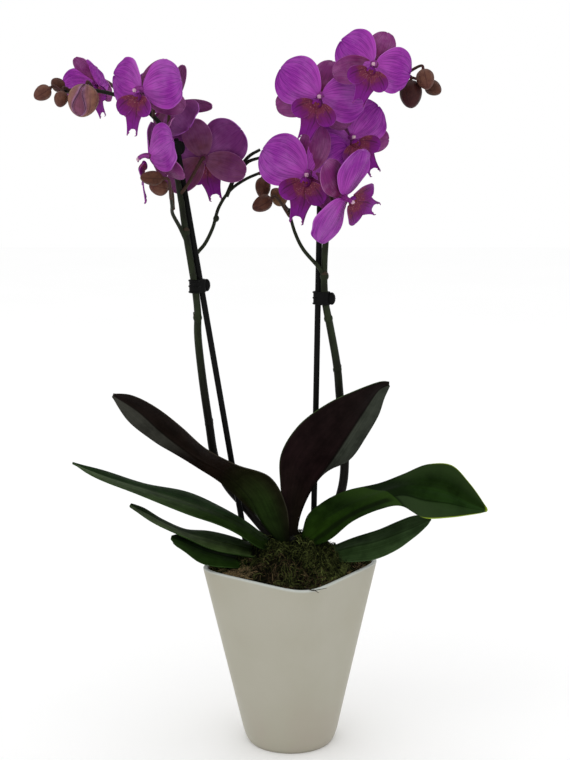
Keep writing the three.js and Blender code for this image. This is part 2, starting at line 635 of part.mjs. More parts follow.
function clipSolid(clip, stemPoints, stemRadius, tools) {
  const [foot, top] = STAKES[clip.stake].map(vec);
  const stake = foot.clone().lerp(top, (clip.z - foot.z) / (top.z - foot.z));
  const stem = pointAtHeight(stemPoints, clip.z);
  const reach = Math.hypot(stem.x - stake.x, stem.y - stake.y);
  const turn = Math.atan2(stake.y - stem.y, stake.x - stem.x);
  const [stemSide, stakeSide] = [stemRadius + CLIP_WALL, STAKE_RADIUS + CLIP_WALL];
  const ribPlace = clip.turned ? reach + stakeSide + 0.6 : -stemSide - 0.6;
  const knobPlace = clip.turned ? -stemSide - 1.6 : reach + stakeSide + 1.6;
  const band = new THREE.Shape();
  band.absarc(0, 0, stemSide, Math.PI / 2, 1.5 * Math.PI, false);
  band.absarc(reach, 0, stakeSide, -Math.PI / 2, Math.PI / 2, false);
  band.closePath();
  const options = { depth: CLIP_HEIGHT, bevelEnabled: false, curveSegments: 3 };
  const parts = [asSolid(new THREE.ExtrudeGeometry(band, options))];
  for (const share of [0.1, 0.5, 0.9]) {
    const rib = new THREE.BoxGeometry(2.4, 3.2, 1.4);
    rib.translate(ribPlace, 0, CLIP_HEIGHT * share);
    parts.push(asSolid(rib));
  }
  const knob = new THREE.CylinderGeometry(3, 3, CLIP_HEIGHT * 0.9, 7);
  knob.rotateX(Math.PI / 2).translate(knobPlace, 0, CLIP_HEIGHT / 2);
  parts.push(asSolid(knob));
  const placed = new THREE.Matrix4().makeRotationZ(turn);
  placed.setPosition(stem.x, stem.y, clip.z - CLIP_HEIGHT / 2);
  return cut(fuse(parts).transform([...placed.elements]), tools);
}

// Assembly

const blooms = Object.entries(BLOOMS);
const buds = Object.entries(BUDS);
const stalksOf = (side) => [
  ...blooms.filter(([name]) => name.startsWith(`bloom_${side}`)).map(([, bloom]) => bloomStalk(bloom)),
  ...buds.filter(([name]) => budSide(name) === side).map(([, bud]) => budStalk(bud)),
];

function budSide(name) {
  if (name === 'bud_middle_1') return 'left';
  return name.startsWith('bud_left') ? 'left' : 'right';
}

const fatStakes = Object.values(STAKES).map((ends) => stakeSolid(ends, STAKE_RADIUS + GAP));
const fatSpikes = [SPIKE_LEFT, SPIKE_RIGHT].map((spike) => (
  stemSolid(spike.stem, SPIKE_RADIUS + GAP, STEM_SIDES, STEM_STEPS)
));
const fatRachis = stemSolid(SPIKE_LEFT.rachis, RACHIS_RADIUS + GAP, STEM_SIDES, RACHIS_STEPS);
const fatLeaves = Object.values(LEAVES).map((leaf) => leafSolid(leaf, GAP));
const crown = crownSolid([...fatLeaves, ...fatSpikes]);
const fatStub = ballSolid(CROWN_MIDDLE, CROWN_RADII.map((r) => r + GAP + 0.1), CROWN_SIDES, CROWN_RINGS);
const fatCrown = fuse([fatStub, ...rootSolids(GAP)]);

addPiece('pot', potSolid(), 'glaze');
addPiece('growing_medium', cut(mediumSolid(), [...fatStakes, fatCrown]), 'bark');
addPiece('moss', cut(mossSolid(), [...fatStakes, ...fatSpikes, ...fatLeaves, fatCrown]), 'moss');
addPiece('crown', crown, 'leaf');
for (const [name, leaf] of Object.entries(LEAVES)) addPiece(name, leafSolid(leaf), 'leaf');
for (const [name, ends] of Object.entries(STAKES)) addPiece(name, stakeSolid(ends, STAKE_RADIUS), 'black');
addPiece('spike_left', spikeSolid(SPIKE_LEFT, stalksOf('left')), 'stem');
addPiece('spike_right', spikeSolid(SPIKE_RIGHT, stalksOf('right')), 'stem');
addPiece('clip_left_middle', clipSolid(CLIPS.clip_left_middle, SPIKE_LEFT.stem, SPIKE_RADIUS,
  [fatStakes[0], fatSpikes[0]]), 'black');
addPiece('clip_left_upper', clipSolid(CLIPS.clip_left_upper, SPIKE_LEFT.rachis, RACHIS_RADIUS,
  [fatStakes[0], fatRachis]), 'black');
addPiece('clip_right_middle', clipSolid(CLIPS.clip_right_middle, SPIKE_RIGHT.stem, SPIKE_RADIUS,
  [fatStakes[1], fatSpikes[1]]), 'black');
for (const [name, bloom] of blooms) {
  addPiece(`${name}_petals`, tepalsSolid(bloom), 'petal');
  addPiece(`${name}_lip`, lipSolid(bloom), 'lip');
}
for (const [name, bud] of buds) addPiece(name, budSolid(bud), 'bud');

export default orchid;
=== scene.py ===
"""Potted moth orchid: two staked flower spikes, strap leaves, moss and a glazed cover pot.

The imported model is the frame. Tables are in millimetres, objects in metres, +Z up, the viewer at -Y.
"""
import random
from collections import namedtuple
from functools import cached_property
from math import atan2, cos, exp, hypot, pi, radians, sin, sqrt, tau

import bpy
from mathutils import Matrix, Vector, noise


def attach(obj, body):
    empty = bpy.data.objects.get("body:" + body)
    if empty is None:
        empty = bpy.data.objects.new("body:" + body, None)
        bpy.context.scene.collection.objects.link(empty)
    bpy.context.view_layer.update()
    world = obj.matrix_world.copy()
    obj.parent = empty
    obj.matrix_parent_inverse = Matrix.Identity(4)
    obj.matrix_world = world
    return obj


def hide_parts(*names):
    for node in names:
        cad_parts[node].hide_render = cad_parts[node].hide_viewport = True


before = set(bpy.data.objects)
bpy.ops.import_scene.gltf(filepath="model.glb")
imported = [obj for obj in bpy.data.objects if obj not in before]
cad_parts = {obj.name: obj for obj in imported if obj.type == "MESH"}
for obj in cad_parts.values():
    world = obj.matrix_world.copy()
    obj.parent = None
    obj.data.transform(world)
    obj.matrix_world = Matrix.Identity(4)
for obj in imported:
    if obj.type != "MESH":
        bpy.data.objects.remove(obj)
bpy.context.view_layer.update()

MM = 0.001

# Sizes shared with the part's source
POT_HEIGHT = 168
FOOT_RADIUS = 41
RIM_CORNER_RADIUS = 80
RIM_SQUARENESS = 6
POT_FRONT = radians(9.3) + pi / 4
WALL = 4.5
FLOOR = 7
GAP = 0.35
MOSS_EDGE_TOP = 164
MOUND_HEIGHT = 25
MOUND_RADIUS = 48
MEDIUM_TOP = 144
SPIKE_RADIUS = 3.3
RACHIS_RADIUS = 2.1
STAKE_RADIUS = 2.7
CLIP_HEIGHT = 12
CLIP_WALL = 1.6
LEAF_RIB = 2.6
LEAF_CAMBER = 0.05
TEPAL_THICKNESS = 0.8
TEPAL_START = 2
HUB_DEPTH = 3.2
Tepal = namedtuple("Tepal", "length width widest claw depth arch wave frill")
PETAL = Tepal(43, 43, 0.56, 0.14, 0.6, 0.06, 0.9, 0.55)
SEPAL = Tepal(41, 26, 0.52, 0.18, -1, 0.08, 0.4, 0.3)

# Lower and upper end of each stake
STAKES = {
    "left": ((-22.25, 30, 60), (-99.8, 5.5, 549)),
    "right": ((19.4, 30, 60), (25.9, 17, 512)),
}
# Skins of the two sides of each leaf, and its near edge, rib and far edge from root to tip
LEAVES = {
    "left_upper": ("maroon_under", "green_top", """
        -1 -9.5 187, -4 -12 224, -18 -11 251, -49 -14 263, -74 -17 278, -96 -16 298, -120 -12 315, -142 -6 325,
        -158 2 325;
        -10 -3 188, -25 -1 206, -37 3 228, -58 4 250, -82 5 263, -100 5 276, -117 5 290, -136 5 308, -159 4 323;
        -10 4 189, -26 8 204, -43 9 222, -64 11 241, -85 12 254, -107 13 268, -124 13 279, -146 11 297,
        -160 6 321"""),
    "left_long": ("green_low", "green_top", """
        -4 -11 182, -24 -17 186, -47 -24 202, -68 -30 214.2, -92 -33 224.2, -131 -30 238.6, -160 -22 248,
        -180 -12 255, -195 -2 261;
        -4 -2 182, -24 -2 190, -44 -2 204, -69 -3 216, -96 -3 226, -131 -2 236.6, -162 0 246, -182 0 254,
        -196 0 261;
        -4 5 182, -22 9 190, -43 17 204, -70 21 217.4, -97 23 228.6, -133 22 236.8, -164 16 248, -183 8 256,
        -196 3 262"""),
    "left_narrow": ("green_low", "sage_top", """
        -4 -10 176, -28 -18 178, -52 -21 183, -74 -24 190, -93 -22 197.4, -113 -19 206.8, -130 -16 215,
        -144 -8 222;
        -4 -2 176, -28 -6 180, -51 -8 186, -75 -8 192, -95 -8 198, -115 -7 207, -134 -5 217, -145 -4 223;
        -4 5 176, -27 5 181, -48 8 188, -76 10 195, -97 6 198.6, -117 3 208, -133 4 219, -144 0 224"""),
    "left_low": ("green_low", "green_low", """
        -5 -9 170, -30 -21 171, -52 -29 173, -68 -33 175, -81 -34 180, -94 -32 188, -104 -26 194;
        -5 -2 170, -30 -9 172, -50 -12 175, -67 -14 179.4, -83 -15 185, -96 -17 191.8, -107 -21 197;
        -5 5 170, -29 3 173, -48 7 176.5, -67 7 182.2, -84 6 188.6, -97 1 194.2, -107 -15 198"""),
    "right_upright": ("green_top", "purple_under", """
        -1 -5 189, -5 -8 212, -9 -12 244, -9 -14 272, 6 -16 298, 33 -14 319, 58 -8 330, 78 0 335, 88 6 335;
        4 -2 189, 6 0 207, 12 2 225, 23 5 244, 37 6 264, 52 6 288, 64 6 307, 79 7 328, 88 7 332;
        5 5 189, 7 10 205, 14 13 224, 29 17 247, 53 18 260, 68 19 280, 79 18 300, 84 14 318, 89 9 330"""),
    "right_arched": ("yellow_rim_top", "green_low", """
        4 -9 181, 20 -17 189, 34 -23 197, 54 -30 216, 80 -33 228, 97 -36 232, 117 -39 222, 140 -36 221,
        160 -30 222, 173.6 -26 223.4;
        6 -4 181, 16 -5 191, 31 -3 207, 54 -5 222, 81 -8 235, 100 -12 242, 119 -18 243, 139 -22 239,
        158 -24 230, 175 -25 224.4;
        9 -1 186, 15 3 211, 29 12 221, 52 18 231, 82 19 238, 103 14 247, 124 4 259, 144 -6 261, 159 -16 247,
        174.4 -24 226"""),
    "right_low": ("fern_top", "green_low", """
        5 -9 173, 22 -16 174, 36 -22 175, 55 -28 178, 76 -34 183, 95 -36 192, 108 -34 202, 120 -28 210;
        5 -2 173, 20 -6 176, 34 -9 179, 54 -12 186, 76 -17 193, 96 -22 202, 111 -24 209, 125 -24 216;
        5 5 173, 18 4 177, 32 3 181, 53 2 189, 77 -3 199, 96 -10 210, 112 -16 217, 124 -21 218"""),
}
# Stem, flowering end and branches of each spike, its nodes with a dry bract, and its bare knots
SPIKES = {
    "left": ("""
        -2 9 172, -12 16 180, -26 23 195, -42 29 213, -59 30 234, -69 29.5 258, -74 28.5 290, -80 26 337,
        -83 19 375, -82.6 13.3 396, -84.2 8.8 416, -87.7 7 440, -92.1 4.8 469, -95.3 3 496;
        -95.3 3 494, -100 1 526, -105 0 550, -116 -1 566, -131 -2 579, -152 -4 587, -175 -6 591, -190 -8 590,
        -196 -8 589;
        -90.4 5.6 458, -96 -1 472, -101.5 -16 486, -101 -30 494, -101 -42 502;
        -87.5 7 438, -88.5 13.5 441, -86 17 444, -82 20 449, -76 22 456, -69 24 470, -63.5 27 488, -53 33 503,
        -40 34 512, -27 30 518;
        -57 31 497, -47 36 519, -37 36 532, -27 35 538;
        -47 36 517, -38 37 527, -27 35 531""",
        [(-74.1, 28.4, 291), (-82.8, 14.6, 391), (-92, 4.9, 468)], [(-66, 25.5, 478)]),
    "right": ("""
        2.6 9 184, 13.6 16 189, 28.6 21 198, 40.6 25 212, 47.6 27 232, 49.6 27 258, 47.5 27 290, 44.4 26 319,
        42.2 25 343, 34.9 22.5 384, 31.3 18.5 402, 29.8 15.5 420, 29.8 14.6 440, 31 12.5 462, 33 9 492;
        33 9 490, 37 5 531, 47 2 565, 61 0 590, 80 -1 603, 96 -2 603;
        29.8 15 428, 25 12 436, 11 15 452, 4 16 466, 0 15 480, -1 14 488""",
        [(42.2, 25, 342), (33.8, 21.5, 389), (29.8, 15, 428)], []),
}
# Petals and sepals lie at (angle, sweep back) in degrees, and turn is yaw, pitch and roll
Bloom = namedtuple("Bloom", "petals sepals at turn size start via slim", defaults=((), 1))
BLOOMS = {
    "left_1": Bloom(((15, -2), (165, -9)), ((90, -44), (-32, -40), (212, -10)), (-124, -38, 591), (-35, 0, 3),
        0.95, (-118, -1, 568)),
    "left_2": Bloom(((30, 8), (228, -44)), ((108, -5), (182, -4), (300, -8)), (-104, 28, 577), (178, -2, 0),
        0.9, (-106, 0, 554), slim=0.5),
    "left_3": Bloom(((18, -30), (162, -12)), ((90, -38), (-40, -34), (220, -10)), (-119, -36, 536),
        (-84, -12, 0), 0.95, (-106, 0, 553)),
    "left_4": Bloom(((24, -4), (156, -4)), ((90, -24), (-30, -6), (212, -6)), (-76.4, 29, 531), (176, 0, 13), 1,
        (-97, 3, 500), [(-90, -1, 509)]),
    "left_5": Bloom(((20, 34), (160, 34)), ((90, 30), (-35, 26), (215, 26)), (-170, 38, 595), (-40, -12, -20),
        0.74, (-150, -4, 586), [(-150, 22, 588)]),
    "right_1": Bloom(((5, -34), (165, -22)), ((90, -34), (-32, -52), (212, -10)), (68, -53, 612), (-6, 2, 20),
        0.9, (62, 0, 591)),
    "right_2": Bloom(((15, -20), (165, -10)), ((90, -36), (-28, -24), (212, -10)), (24, -40, 586), (-4, 0, 19),
        0.98, (45, 3, 560), [(27, 6, 588)]),
    "right_3": Bloom(((15, -10), (165, -10)), ((90, -16), (-32, -10), (212, -10)), (51, -21.5, 551),
        (12, 6, -30), 0.92, (40, 4, 542)),
    "right_4": Bloom(((45, -25), (165, -8)), ((90, -14), (-32, -8), (205, -56)), (14, -44, 522), (-6, 0, 12),
        1.05, (36, 6, 520)),
    "right_5": Bloom(((8, 4), (172, 4)), ((58, -8), (-32, -10), (212, -10)), (43, -68, 505), (53, -23, -78), 1,
        (33, 10, 478), [(41, -30, 480)]),
}
Bud = namedtuple("Bud", "at tip length width start skin", defaults=("plain",))
BUDS = {
    "left_tip_1": Bud((-211.5, -9, 588), (-0.8, -0.2, -0.5), 16, 13, (-195, -8, 589), "rose"),
    "left_tip_2": Bud((-200, 4, 595), (-0.7, 0.1, 0.6), 13, 11.5, (-186, -7, 590)),
    "left_tip_3": Bud((-195, -15, 583), (-0.2, -0.3, -0.9), 14, 12, (-188, -8, 590), "rose"),
    "left_opening": Bud((-175, -25, 582), (-0.2, -0.3, -0.9), 27, 26, (-168, -5, 590), ""),
    "left_branch_1": Bud((-115, -64, 520), (-0.97, -0.15, 0.05), 19, 12, (-101, -41, 501)),
    "left_branch_2": Bud((-111, -44, 511), (-0.75, -0.45, 0.2), 17, 14, (-100, -26, 491), "rose"),
    "middle_1": Bud((-24.4, 27, 505), (0, -0.1, -1), 19, 14, (-28, 30, 517)),
    "middle_2": Bud((-25, 4, 493), (-0.8, -0.2, -0.45), 19, 14, (-1, 14, 481)),
    "middle_3": Bud((-10.9, 17, 498), (-0.5, -0.3, 0.7), 18, 14, (-1, 14, 486), "olive"),
    "right_tip_1": Bud((102, -11, 587), (0, -0.3, -0.95), 24, 19.5, (92, -2, 603), "dark"),
    "right_tip_2": Bud((113.5, -18.5, 599.5), (0.2, -0.4, -0.9), 18, 15, (96, -2, 603), "rose"),
    "right_tip_3": Bud((122, 0, 592), (0.8, 0, -0.5), 15, 13, (96, -2, 603)),
}
# Height of the middle of each clip
CLIPS = {"left_middle": 420, "left_upper": 541, "right_middle": 408}


# Working habits

def deselect():
    bpy.ops.object.select_all(action="DESELECT")


def pick(obj):
    deselect()
    obj.select_set(True)
    bpy.context.view_layer.objects.active = obj
    return obj


def added(operator, **settings):
    deselect()
    operator(**settings)
    return bpy.context.object


def linked(name, data):
    obj = bpy.data.objects.new(name, data)
    bpy.context.collection.objects.link(obj)
    return pick(obj)


def apply_modifiers(obj):
    pick(obj)
    for modifier in list(obj.modifiers):
        bpy.ops.object.modifier_apply(modifier=modifier.name)


def apply_place(obj):
    pick(obj)
    bpy.ops.object.transform_apply(location=True, rotation=True, scale=True)
    return obj


def start_edit(obj):
    pick(obj)
    bpy.ops.object.mode_set(mode="EDIT")
    bpy.ops.mesh.select_all(action="SELECT")


def extrude_up(height):
    bpy.ops.mesh.extrude_region_move(TRANSFORM_OT_translate={"value": (0, 0, height * MM)})


def end_edit():
    """Turns all faces outward and leaves edit mode."""
    bpy.ops.mesh.select_all(action="SELECT")
    bpy.ops.mesh.normals_make_consistent(inside=False)
    bpy.ops.object.mode_set(mode="OBJECT")


def soften(obj, width, segments, angle):
    soft = obj.modifiers.new("soft_edges", "BEVEL")
    soft.width, soft.segments = width * MM, segments
    soft.limit_method, soft.angle_limit = "ANGLE", radians(angle)
    apply_modifiers(obj)


def join(parts):
    pick(parts[0])
    for part in parts:
        part.select_set(True)
    bpy.ops.object.join()
    return bpy.context.object


def finished(obj, name, node="", smooth=50):
    """Names a piece, smooths it, and hands it to the frame."""
    obj.name = name
    obj.data.name = name
    pick(obj)
    bpy.ops.object.shade_smooth_by_angle(angle=radians(smooth))
    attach(obj, "root")
    if node:
        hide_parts(node)


def smoothstep(low, high, x):
    t = min(1, max(0, (x - low) / (high - low)))
    return t * t * (3 - 2 * t)


def curves(text):
    """Curves parted by semicolons, of points parted by commas."""
    return [[tuple(map(float, point.split())) for point in curve.split(",")] for curve in text.split(";")]


def spline_at(points, t):
    """A centripetal Catmull-Rom curve through the points, the same curve as in the part's source."""
    last = len(points) - 1
    t = min(1, max(0, t)) * last
    i = min(int(t), last - 1)
    w = t - i
    p1, p2 = Vector(points[i]), Vector(points[i + 1])
    p0 = Vector(points[i - 1]) if i > 0 else 2 * p1 - p2
    p3 = Vector(points[i + 2]) if i + 2 <= last else 2 * p2 - p1
    d0, d1, d2 = ((a - b).length_squared ** 0.25 or 1 for a, b in ((p0, p1), (p1, p2), (p2, p3)))
    m1 = ((p1 - p0) / d0 - (p2 - p0) / (d0 + d1) + (p2 - p1) / d1) * d1
    m2 = ((p2 - p1) / d1 - (p3 - p1) / (d1 + d2) + (p3 - p2) / d2) * d1
    c2 = -3 * p1 + 3 * p2 - 2 * m1 - m2
    c3 = 2 * p1 - 2 * p2 + m1 + m2
    return p1 + m1 * w + c2 * w * w + c3 * w * w * w


def direction_at(points, t):
    return (spline_at(points, t + 0.002) - spline_at(points, t - 0.002)).normalized()


# Finishes

def srgb(text):
    """A colour, given in web notation, as linear light."""
    channels = []
    for start in (0, 2, 4):
        value = int(text[start:start + 2], 16) / 255
        channels.append(value / 12.92 if value <= 0.04045 else ((value + 0.055) / 1.055) ** 2.4)
    return (*channels, 1)


class Finish:
    """A material painted in layers, with short words for the nodes that all finishes share."""

    def __init__(self, name, **sockets):
        self.material = bpy.data.materials.new(name)
        self.material.use_nodes = True
        self.tree = self.material.node_tree
        self.shader = self.tree.nodes["Principled BSDF"]
        for key, value in sockets.items():
            self.put(value, self.shader.inputs[key.replace("_", " ")])

    def put(self, value, socket):
        if isinstance(value, bpy.types.NodeSocket):
            self.tree.links.new(value, socket)
        else:
            socket.default_value = srgb(value) if isinstance(value, str) else value

    def node(self, kind, inputs=(), **settings):
        made = self.tree.nodes.new("ShaderNode" + kind)
        for key, value in settings.items():
            setattr(made, key, value)
        for key, value in dict(inputs).items():
            self.put(value, made.inputs[key])
        return made

    def sum(self, operation, *values):
        return self.node("Math", dict(enumerate(values)), operation=operation).outputs[0]

    def times(self, product, *others):
        for other in others:
            product = self.sum("MULTIPLY", product, other)
        return product

    def minus(self, first, second):
        return self.sum("SUBTRACT", first, second)

    def off(self, value, centre):
        return self.sum("ABSOLUTE", self.minus(value, centre))

    def place(self, stretch=(1, 1, 1)):
        coordinates = self.node("TexCoord").outputs["Object"]
        return self.node("Mapping", {"Vector": coordinates, "Scale": stretch}).outputs[0]

    def axes(self, vector):
        return self.node("SeparateXYZ", {0: vector}).outputs

    def join_axes(self, x, y):
        return self.node("CombineXYZ", {0: x, 1: y, 2: 0}).outputs[0]

    @cached_property
    def map(self):
        """How far along a blade, 0 to 1, and how far across it, 0 to 1."""
        return self.axes(self.node("UVMap").outputs[0])[:2]

    def side(self):
        """0 on the middle line of a blade, 1 at both its sides."""
        return self.off(self.times(self.map[1], 2.0), 1.0)

    def rim(self, sharpness):
        """1 at the outline of a blade, 0 inside it."""
        side, end = self.sum("POWER", self.side(), sharpness), self.sum("POWER", self.map[0], 2 * sharpness)
        return self.sum("MAXIMUM", side, end)

    def cloud(self, vector, scale, detail, roughness, distortion):
        return self.node("TexNoise", {
            "Vector": vector, "Scale": scale, "Detail": detail, "Roughness": roughness,
            "Distortion": distortion}).outputs["Fac"]

    def grit(self, scale, detail, stretch=(1, 1, 1), roughness=0.55):
        return self.cloud(self.place(stretch), scale, detail, roughness, 0)

    def grain(self, lengths, threads, detail, roughness=0.55, distortion=0):
        """Noise drawn out along a blade into so many threads."""
        drawn = self.join_axes(self.times(self.map[0], lengths), self.times(self.map[1], threads))
        return self.cloud(drawn, 1, detail, roughness, distortion)

    def window(self, value, low, high, top=1.0, bottom=0.0):
        """bottom where value is low, rising smoothly to top where it is high."""
        return self.node("MapRange", {
            "Value": value, "From Min": low, "From Max": high, "To Min": bottom, "To Max": top},
            interpolation_type="SMOOTHSTEP").outputs[0]

    def mask(self, *windows):
        """The product of windows, each given as its numbers, as a socket or as a plain share."""
        return self.times(*(self.window(*part) if isinstance(part, tuple) else part for part in windows))

    def mixed(self, fac, first, second, blend="MIX"):
        values = {0: fac, 6: first, 7: second}
        return self.node("Mix", values, data_type="RGBA", blend_type=blend).outputs[2]

    def start(self, fac, *stops):
        """The first layer: a colour ramp from (place, colour) stops."""
        ramp = self.node("ValToRGB", {"Fac": fac})
        while len(ramp.color_ramp.elements) < len(stops):
            ramp.color_ramp.elements.new(0.5)
        for element, (place, colour) in zip(ramp.color_ramp.elements, stops):
            element.position, element.color = place, srgb(colour)
        self.body = ramp.outputs[0]

    def paint(self, colour, *windows, blend="MIX"):
        """The next layer: a colour over the last ones, as far as all the windows are open."""
        self.body = self.mixed(self.mask(*windows), self.body, colour, blend)

    def rough(self, source, low, high):
        self.put(self.window(source, 0, 1, high, low), self.shader.inputs["Roughness"])

    def done(self, height, depth_mm, strength):
        """Joins up the layers, adds relief, and gives the material."""
        bump = self.node("Bump", {"Height": height, "Distance": depth_mm * MM, "Strength": strength})
        self.put(bump.outputs[0], self.shader.inputs["Normal"])
        self.put(self.body, self.shader.inputs["Base Color"])
        return self.material


def tepal_finish(name, colours, vein_depth):
    """Petal skin: colour from the claw to the rim, thread-fine veins fanning out, and a pale edge."""
    base, middle, outer, rim, vein = colours.split()
    skin = Finish(name, Roughness=0.6, Specular_IOR_Level=0.1)
    skin.start(skin.map[0], (0.0, base), (0.12, base), (0.5, middle), (1.0, outer))
    skin.paint(outer, (skin.grain(1.4, 4.0, 2), 0.35, 0.65, 0.22), blend="MULTIPLY")
    skin.paint(rim, (skin.grit(52, 3), 0.4, 0.7, 0.42))
    threads = skin.grain(2.0, 58.0, 2, 0.6, 0.2)
    lines = skin.mask((threads, 0.47, 0.62), (skin.rim(30), 0.0, 0.4, 0.0, 1.0))
    skin.paint(vein, lines, vein_depth)
    skin.paint(base, (threads, 0.48, 0.36, 0.5))
    skin.paint(rim, (skin.rim(40), 0.2, 0.9, 0.6))
    return skin.done(skin.minus(skin.grit(900, 2), lines), 0.16, 0.5)


def lip_finish(name, colours):
    """Lip flesh: speckled maroon throat running out into deep magenta with darker lines."""
    throat, middle, outer, spots, dark, pale = colours.split()
    flesh = Finish(name, Roughness=0.55, Specular_IOR_Level=0.12)
    ragged = flesh.sum("ADD", flesh.map[0], flesh.window(flesh.grit(240, 3), 0.2, 0.8, 0.14, -0.14))
    flesh.start(ragged, (0.0, throat), (0.24, throat), (0.42, middle), (0.8, outer))
    lines = flesh.window(flesh.grain(0.9, 12.0, 3, 0.6, 0.3), 0.5, 0.66, 0.75)
    flesh.paint(dark, lines)
    dots = flesh.node("TexVoronoi", {"Vector": flesh.place(), "Scale": 700}).outputs["Distance"]
    flesh.paint(spots, (dots, 0.3, 0.14), (ragged, 0.4, 0.1, 0.5))
    flesh.paint(pale, (flesh.rim(30), 0.3, 1.0, 0.5))
    return flesh.done(flesh.minus(flesh.grit(800, 2), lines), 0.14, 0.5)


def paint_fold_light_and_shade(skin):
    """A fold across a blade, painted only, as the mesh is not bent there: painted light on its inner side,
    painted shade over the half beyond it, painted light on parts of that half, and painted shade along the rib
    and in the groove.
    """
    along, across = skin.map
    past = skin.minus(along, skin.minus(0.56, skin.times(across, 0.18)))
    outside = skin.window(past, 0.0, 0.006)
    # Painted light on the inner side of the fold; painted shade over the half beyond it.
    skin.paint("2c4218", (past, -0.16, -0.01), (past, 0.004, 0.0), 0.7)
    skin.paint("121c0d", outside, (past, 0.22, 0.03), 0.8)
    # Painted light on the far edge and the lower part of the shaded half.
    skin.paint("2c3c20", (across, 0.66, 0.95), (past, 0.08, 0.2), 0.6)
    skin.paint("2e3e24", (across, 0.31, 0.26), (past, 0.0, 0.03), (past, 0.4, 0.1, 0.7, 0.2))
    # Painted shade along the rib beyond the fold, and in the groove before it.
    skin.paint("0a1208", (skin.off(across, 0.3), 0.02, 0.0), outside, 0.6)
    groove = (skin.off(across, 0.24), 0.13, 0.03)
    skin.paint("0c1208", groove, (past, 0.0, -0.05), (along, 0.02, 0.1), 0.75)


def leaf_finish(name, colours, rim_share=0.3, rim_from=0.0, far_from=0.1, rim_sharpness=60, gloss=0.006,
                vein_share=0.5, fold=False):
    """Leaf skin: parallel veins, painted shade at the foot and along the rib, the near half in its own tones,
    the far half under a painted sheen on undersides and painted shade on tops, and a thin rim.
    """
    base, middle, outer, far_sheen_and_shade, rim = colours.split()
    skin = Finish(name, Specular_IOR_Level=gloss)
    along, across = skin.map
    skin.start(along, (0.0, base), (0.18, base), (0.4, middle), (1.0, outer))
    skin.paint(middle, (skin.side(), 0.35, 0.95), (along, 0.4, 0.2, 0.75))
    # Painted sheen over the far half on the undersides, and painted shade over it on the tops.
    skin.paint(far_sheen_and_shade, (across, 0.5, 0.56), (along, far_from, far_from + 0.25))
    # Painted shade at the foot of the blade.
    skin.paint("0c0e07", (along, 0.16, 0.0, 0.7))
    skin.paint("000000", (skin.grit(70, 4), 0.35, 0.7, 0.45), blend="SOFT_LIGHT")
    fleck = skin.grit(620, 3)
    skin.paint(outer, (fleck, 0.5, 0.75, 0.08))
    veins = skin.grain(0.5, 26.0, 2, 0.6)
    skin.paint(rim, (veins, 0.3, 0.7, vein_share), blend="SOFT_LIGHT")
    # Painted light and shade of a fold that the blade's mesh does not have.
    if fold:
        paint_fold_light_and_shade(skin)
    else:
        # Painted shade along the rib's groove.
        skin.paint((0.002, 0.003, 0.002, 1), (skin.off(across, 0.5), 0.022, 0.0), 0.6)
    edge = skin.mask(skin.rim(rim_sharpness), (along, rim_from, rim_from + 0.12))
    skin.paint(rim, (edge, 0.25, 0.9, rim_share))
    skin.rough(skin.grit(380, 4), 0.42, 0.62)
    return skin.done(skin.sum("ADD", veins, skin.times(fleck, 0.5)), 0.22, 0.5)


def stem_finish(name, colours):
    """Stem skin: greener below, blotched and finely lined along its length."""
    low, high, patch = colours.split()
    bark = Finish(name, Specular_IOR_Level=0.08)
    height = bark.axes(bark.place())[2]
    bark.start(bark.window(height, 0.18, 0.6), (0.0, patch), (0.2, patch), (0.5, low), (1.0, high))
    bark.paint(patch, (bark.grit(210, 4, (1, 1, 0.35)), 0.45, 0.68, 0.6))
    fine = bark.grit(900, 3, (1, 1, 0.12))
    bark.rough(fine, 0.38, 0.6)
    return bark.done(fine, 0.15, 0.5)


def bud_finish(name, colours):
    """Bud skin: blotched, with a dark line down the middle of each third."""
    base, tip, seam = colours.split()
    skin = Finish(name, Specular_IOR_Level=0.12)
    around, up = skin.map
    skin.start(up, (0.0, base), (0.55, base), (1.0, tip))
    blotch = skin.grit(240, 4)
    skin.paint(seam, (blotch, 0.4, 0.7, 0.55))
    third = skin.sum("FRACT", skin.times(around, 3.0))
    skin.paint(seam, (skin.off(third, 0.5), 0.045, 0.0), 0.7)
    lengthwise = skin.node("TexWave", {
        "Vector": skin.join_axes(around, skin.times(up, 0.1)), "Scale": 9, "Distortion": 1.2,
        "Detail": 2, "Detail Scale": 1}, bands_direction="X").outputs["Fac"]
    skin.rough(blotch, 0.38, 0.6)
    return skin.done(skin.sum("ADD", lengthwise, skin.grit(500, 3)), 0.14, 0.5)


def opening_finish(name, colours):
    """Sepals of the bud that opens next, darker at their tops and lilac where they part."""
    middle, flank, lilac, top, patch, vein = colours.split()
    skin = Finish(name, Roughness=0.55, Specular_IOR_Level=0.1)
    skin.start(skin.side(), (0.0, middle), (0.5, middle), (0.88, flank), (0.98, lilac))
    skin.paint(top, (skin.map[0], 0.3, 0.0, 0.7))
    skin.paint(patch, (skin.grit(150, 4), 0.35, 0.7, 0.5))
    lines = skin.window(skin.grain(1.2, 14.0, 3, 0.6, 0.3), 0.48, 0.66)
    skin.paint(vein, lines, 0.45)
    return skin.done(skin.minus(skin.grit(600, 3), lines), 0.15, 0.5)


def plastic_finish():
    black = Finish("satin_black_plastic", Specular_IOR_Level=0.04)
    haze = black.grit(420, 3, (1, 1, 0.2))
    black.body = black.mixed(haze, (0.003, 0.003, 0.003, 1), (0.008, 0.008, 0.0078, 1))
    black.rough(haze, 0.34, 0.5)
    return black.done(haze, 0.08, 0.4)


